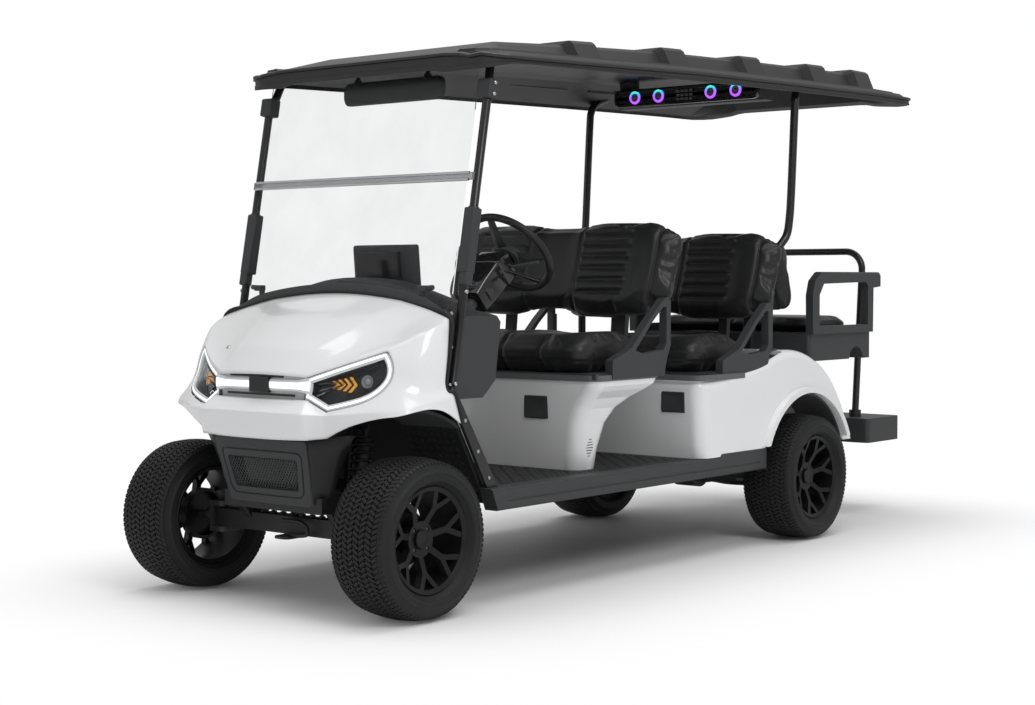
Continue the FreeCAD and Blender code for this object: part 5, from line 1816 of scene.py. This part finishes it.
def build_display():
    """Touch screen with a ribbed back, bezel and folded bracket."""
    tilt = math.radians(5)
    up = Vector((math.sin(tilt), 0, math.cos(tilt)))
    out = Vector((up.z, 0, -up.x))
    middle = place(-0.480, 0, 1.118) + up * 0.088

    def ring(half, tall, depth, radius):
        corners = rectangle(-half, half, -tall, tall)
        return [middle + ACROSS * u + up * v + out * depth
                for u, v in rounded_loop(corners, radius)]

    shell = [ring(0.158, 0.083, -0.014, 0.010), ring(0.163, 0.088, -0.011, 0.012),
             ring(0.163, 0.088, 0.004, 0.012), ring(0.156, 0.081, 0.012, 0.012),
             ring(0.150, 0.075, 0.013, 0.012)]
    add_ring_piece("display_shell", shell, "trim_charcoal", "light_bar_black", "display")
    bm = bmesh.new()
    turn = Matrix((out, ACROSS, up)).transposed().to_4x4()
    aside = ACROSS * -0.022
    add_box(bm, middle + out * 0.020 + aside - up * 0.006, (0.020, 0.220, 0.138), turn)
    add_box(bm, middle + out * 0.040 + aside * 2 - up * 0.022, (0.026, 0.130, 0.110), turn)
    for k in range(9):
        for rise in (-0.078, 0.079):
            add_box(bm, middle + out * 0.0135 + ACROSS * (0.036 * (k - 4)) + up * rise,
                    (0.002, 0.004, 0.004), turn)
    add_box(bm, place(-0.425, 0, 1.115), (0.05, 0.08, 0.06))
    add_box(bm, place(-0.430, 0, 1.150), (0.02, 0.05, 0.09), turn)
    add_piece("display_bracket", bm, "light_bar_black", "light_bar_black",
              BEVEL={"width": 0.002, "segments": 2})
    glass = [ring(0.156, 0.081, -0.0142, 0.008), ring(0.154, 0.079, -0.0150, 0.008)]
    add_ring_piece("display_glass", glass, "screen_glass", "mirror_glass")


def build_mirror():
    """Wide curved mirror: dark moulded back towards the front, glass towards the seats."""

    def ring(inset, depth, radius):
        corners = rectangle(-0.258, 0.258, 1.838, 1.926, inset)
        return [place(-0.513 + depth - 0.030 * u * u, u, v - 0.10 * u * u)
                for u, v in rounded_loop(corners, radius, 6)]

    shell = [ring(0.006, -0.011, 0.030), ring(0.0, -0.008, 0.034), ring(0.0, 0.002, 0.034),
             ring(0.005, 0.009, 0.032), ring(0.018, 0.012, 0.024)]
    add_ring_piece("mirror_shell", shell, "trim_charcoal", "post_black", "mirror")
    glass = [ring(0.006, -0.0112, 0.030), ring(0.007, -0.0122, 0.030)]
    add_ring_piece("mirror_face", glass, "mirror_glass", "mirror_glass")
    bm = bmesh.new()
    for side in (1, -1):
        line = [place(-0.510, side * 0.18, 1.915), place(-0.512, side * 0.18, 1.950),
                place(-0.516, side * 0.178, 1.992)]
        add_sweep(bm, smooth_line(line, 4), circle_profile(0.009, 10))
        add_rod(bm, place(-0.51, side * 0.18, 1.912), place(-0.51, side * 0.18, 1.93), 0.015)
    add_piece("mirror_arms", bm, "post_black", "post_black", angle=40)


def build_speakers():
    """Bezel, cones and light rings of the overhead speakers, with the button grid."""
    front = -2.4985
    bezel = []
    for inset, depth in ((0.0, -0.012), (0.0, 0.004), (0.004, 0.008), (0.012, 0.008),
                         (0.014, 0.0)):
        flat = rounded_loop(rectangle(-0.400, 0.400, 1.982, 2.064, inset), 0.034, 7)
        bezel.append([place(front + depth, u, v) for u, v in flat])
    add_ring_piece("speaker_bezel", bezel, "light_bar_black", "light_bar_black")
    rings = bmesh.new()
    cones = bmesh.new()
    for y in (-0.28, -0.145, 0.145, 0.28):

        def circles(*rows):
            return [circle_ring(place(front + 0.004 + depth, y, 2.026), ACROSS, UP, radius,
                                radius, 28) for radius, depth in rows]

        add_rings(rings, circles((0.031, 0.0), (0.029, 0.006), (0.021, 0.006), (0.019, 0.001)),
                  False)
        add_rings(cones, circles((0.020, 0.003), (0.016, 0.004), (0.009, 0.000), (0.007, 0.004),
                                 (0.003, 0.006)))
    for column in range(4):
        for row in range(3):
            add_box(cones, place(front + 0.004, -0.036 + 0.024 * column, 2.003 + 0.019 * row),
                    (0.006, 0.016, 0.010))
    add_piece("speaker_rings", rings, "speaker_ring", "light_bar_black", angle=40)
    add_piece("speaker_cones", cones, "strip_grey", "light_bar_black", angle=35)


def build_wheel_details():
    """Hub caps and lug nuts that turn with the wheels."""
    for body, end, hand, side, spin in wheels():
        low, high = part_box(f"{end}_rim_{hand}")
        face = (high.y if side > 0 else low.y) - side * 0.048
        middle = Vector((spin.x, face, spin.z))
        bm = bmesh.new()
        for index in range(4):
            start = middle + spoke(math.radians(45 + 90 * index)) * 0.046 - ACROSS * (side * 0.019)
            add_rod(bm, start, start + ACROSS * (side * 0.017), 0.0078, 0.0066, 6)
        add_piece(f"{body}_nuts", bm, "cast_grey", "rim_black", body=body)
        cap = [circle_ring(middle + ACROSS * (side * lift), AHEAD, UP, radius, radius)
               for radius, lift in ((0.0335, 0.003), (0.0335, 0.009), (0.031, 0.012),
                                    (0.022, 0.0125), (0.020, 0.0115), (0.008, 0.0115))]
        add_ring_piece(f"{body}_cap", cap, "rim_black", "rim_black", body=body)


class CART_OT_controls(bpy.types.Operator):
    """Builds the steering wheel, screen, mirror, speakers and wheel caps"""

    bl_idname = "cart.controls"
    bl_label = "Controls"

    def execute(self, context):
        build_steering_wheel()
        build_column()
        build_display()
        build_mirror()
        build_speakers()
        build_wheel_details()
        frame["nodes"]["windshield_hinge"].data.materials[0] = bpy.data.materials["hinge_clear"]
        return {"FINISHED"}


# Stage

class CART_OT_stage(bpy.types.Operator):
    """Sets up the floor, the soft studio light and the camera"""

    bl_idname = "cart.stage"
    bl_label = "Stage"

    def execute(self, context):
        build_floor_stage()
        build_lights()
        build_camera()
        return {"FINISHED"}


def build_floor_stage():
    """A pale floor that fades into the white backdrop away from the cart."""
    tree, shader = start_material("studio_floor")
    tone = blend(tree, noise_node(tree, 0.8, 2.0), (0.93, 0.93, 0.93), (0.95, 0.95, 0.95))
    fill(tree, shader, Base_Color=tone, Roughness=0.6, Specular_IOR_Level=0.2)
    axes = split_axes(tree, object_place(tree))
    beyond = []
    for axis, reach in (("X", 1.55), ("Y", 0.45)):
        size = math_node(tree, "ABSOLUTE", axes[axis])
        past = math_node(tree, "MAXIMUM", math_node(tree, "SUBTRACT", size, reach), 0.0)
        beyond.append(math_node(tree, "MULTIPLY", past, past))
    distance = math_node(tree, "SQRT", math_node(tree, "ADD", *beyond))
    away = add_node(tree, "MapRange", Value=distance, From_Min=0.1, From_Max=1.25)
    away.interpolation_type = "SMOOTHSTEP"
    seen = add_node(tree, "LightPath").outputs["Is Camera Ray"]
    faded = math_node(tree, "MULTIPLY", away.outputs[0], seen)
    white = add_node(tree, "Emission", Color=(1, 1, 1))
    mix = add_node(tree, "MixShader")
    for socket, value in zip(mix.inputs, (faded, shader.outputs[0], white.outputs[0])):
        feed(tree, socket, value)
    fill(tree, tree.nodes["Material Output"], Surface=mix.outputs[0])
    half = 60.0
    floor = mesh_piece("studio_floor", [(-half, -half, 0), (half, -half, 0), (half, half, 0),
                                        (-half, half, 0)], [(0, 1, 2, 3)], "studio_floor")


def build_lights():
    """White world light that shows dimmer in reflections, and three soft lamps."""
    world = bpy.data.worlds.new("studio")
    bpy.context.scene.world = world
    world.use_nodes = True
    tree = world.node_tree
    tree.nodes.clear()
    rays = add_node(tree, "LightPath").outputs
    shown = math_node(tree, "MAXIMUM", rays["Is Camera Ray"], rays["Is Transmission Ray"])
    glossy = math_node(tree, "MULTIPLY", rays["Is Glossy Ray"], 0.35)
    strength = blend(tree, math_node(tree, "MAXIMUM", shown, glossy), 0.42, 1.0, "FLOAT")
    background = add_node(tree, "Background", Color=(1, 1, 1), Strength=strength)
    add_node(tree, "OutputWorld", Surface=background.outputs[0])
    aim = Vector((0, 0, 0.8))
    for name, where, size, power in (
            ("key", (3.0, 6.5, 6.0), 3.2, 205), ("front", (7.5, -2.5, 3.5), 4.0, 26),
            ("top", (0.0, 0.5, 7.5), 6.0, 300)):
        lamp = bpy.data.lights.new(name, "AREA")
        lamp.size = size
        lamp.energy = power
        obj = add_object(name, lamp)
        obj.location = where
        obj.rotation_mode = "QUATERNION"
        obj.rotation_quaternion = (aim - Vector(where)).to_track_quat("-Z", "Y")


def build_camera():
    """The photograph's own viewpoint, worked out from the cart's wheels and posts."""
    yaw = math.radians(39.054)
    pitch = math.radians(2.305)
    roll = math.radians(-0.059)
    focal_pixels = 1786.77
    picture_width = 1035
    data = bpy.data.cameras.new("camera")
    data.sensor_width = 36.0
    data.lens = focal_pixels / picture_width * data.sensor_width
    data.clip_end = 300
    camera = add_object("camera", data)
    camera.location = place(4.4853, 4.6621, 1.1585)
    ahead = Vector((-math.cos(yaw) * math.cos(pitch), -math.sin(yaw) * math.cos(pitch),
                    -math.sin(pitch)))
    camera.rotation_mode = "QUATERNION"
    turn = ahead.to_track_quat("-Z", "Y")
    camera.rotation_quaternion = turn @ Matrix.Rotation(roll, 4, "Z").to_quaternion()
    bpy.context.scene.camera = camera
    bpy.context.scene.view_settings.view_transform = "Standard"


OPERATORS = (
    CART_OT_finishes, CART_OT_frame_finish, CART_OT_cowl, CART_OT_seats, CART_OT_tyres,
    CART_OT_trim, CART_OT_controls, CART_OT_stage,
)


class CART_PT_panel(bpy.types.Panel):
    """Lists the steps that build the cart"""

    bl_idname = "CART_PT_panel"
    bl_label = "Golf cart"
    bl_space_type = "VIEW_3D"
    bl_region_type = "UI"
    bl_category = "Golf cart"

    def draw(self, context):
        for group in (context.scene.cart_finishes, context.scene.cart_sizes):
            for name in group.__annotations__:
                self.layout.prop(group, name)
        for operator in OPERATORS:
            self.layout.operator(operator.bl_idname)


CLASSES = (CartFinishes, CartSizes) + OPERATORS + (CART_PT_panel,)


def register():
    for cls in CLASSES:
        bpy.utils.register_class(cls)
    bpy.types.Scene.cart_finishes = PointerProperty(type=CartFinishes)
    bpy.types.Scene.cart_sizes = PointerProperty(type=CartSizes)


def unregister():
    del bpy.types.Scene.cart_sizes
    del bpy.types.Scene.cart_finishes
    for cls in reversed(CLASSES):
        bpy.utils.unregister_class(cls)


def main():
    register()
    for operator in OPERATORS:
        area, name = operator.bl_idname.split(".")
        getattr(getattr(bpy.ops, area), name)()


if __name__ == "__main__":
    main()
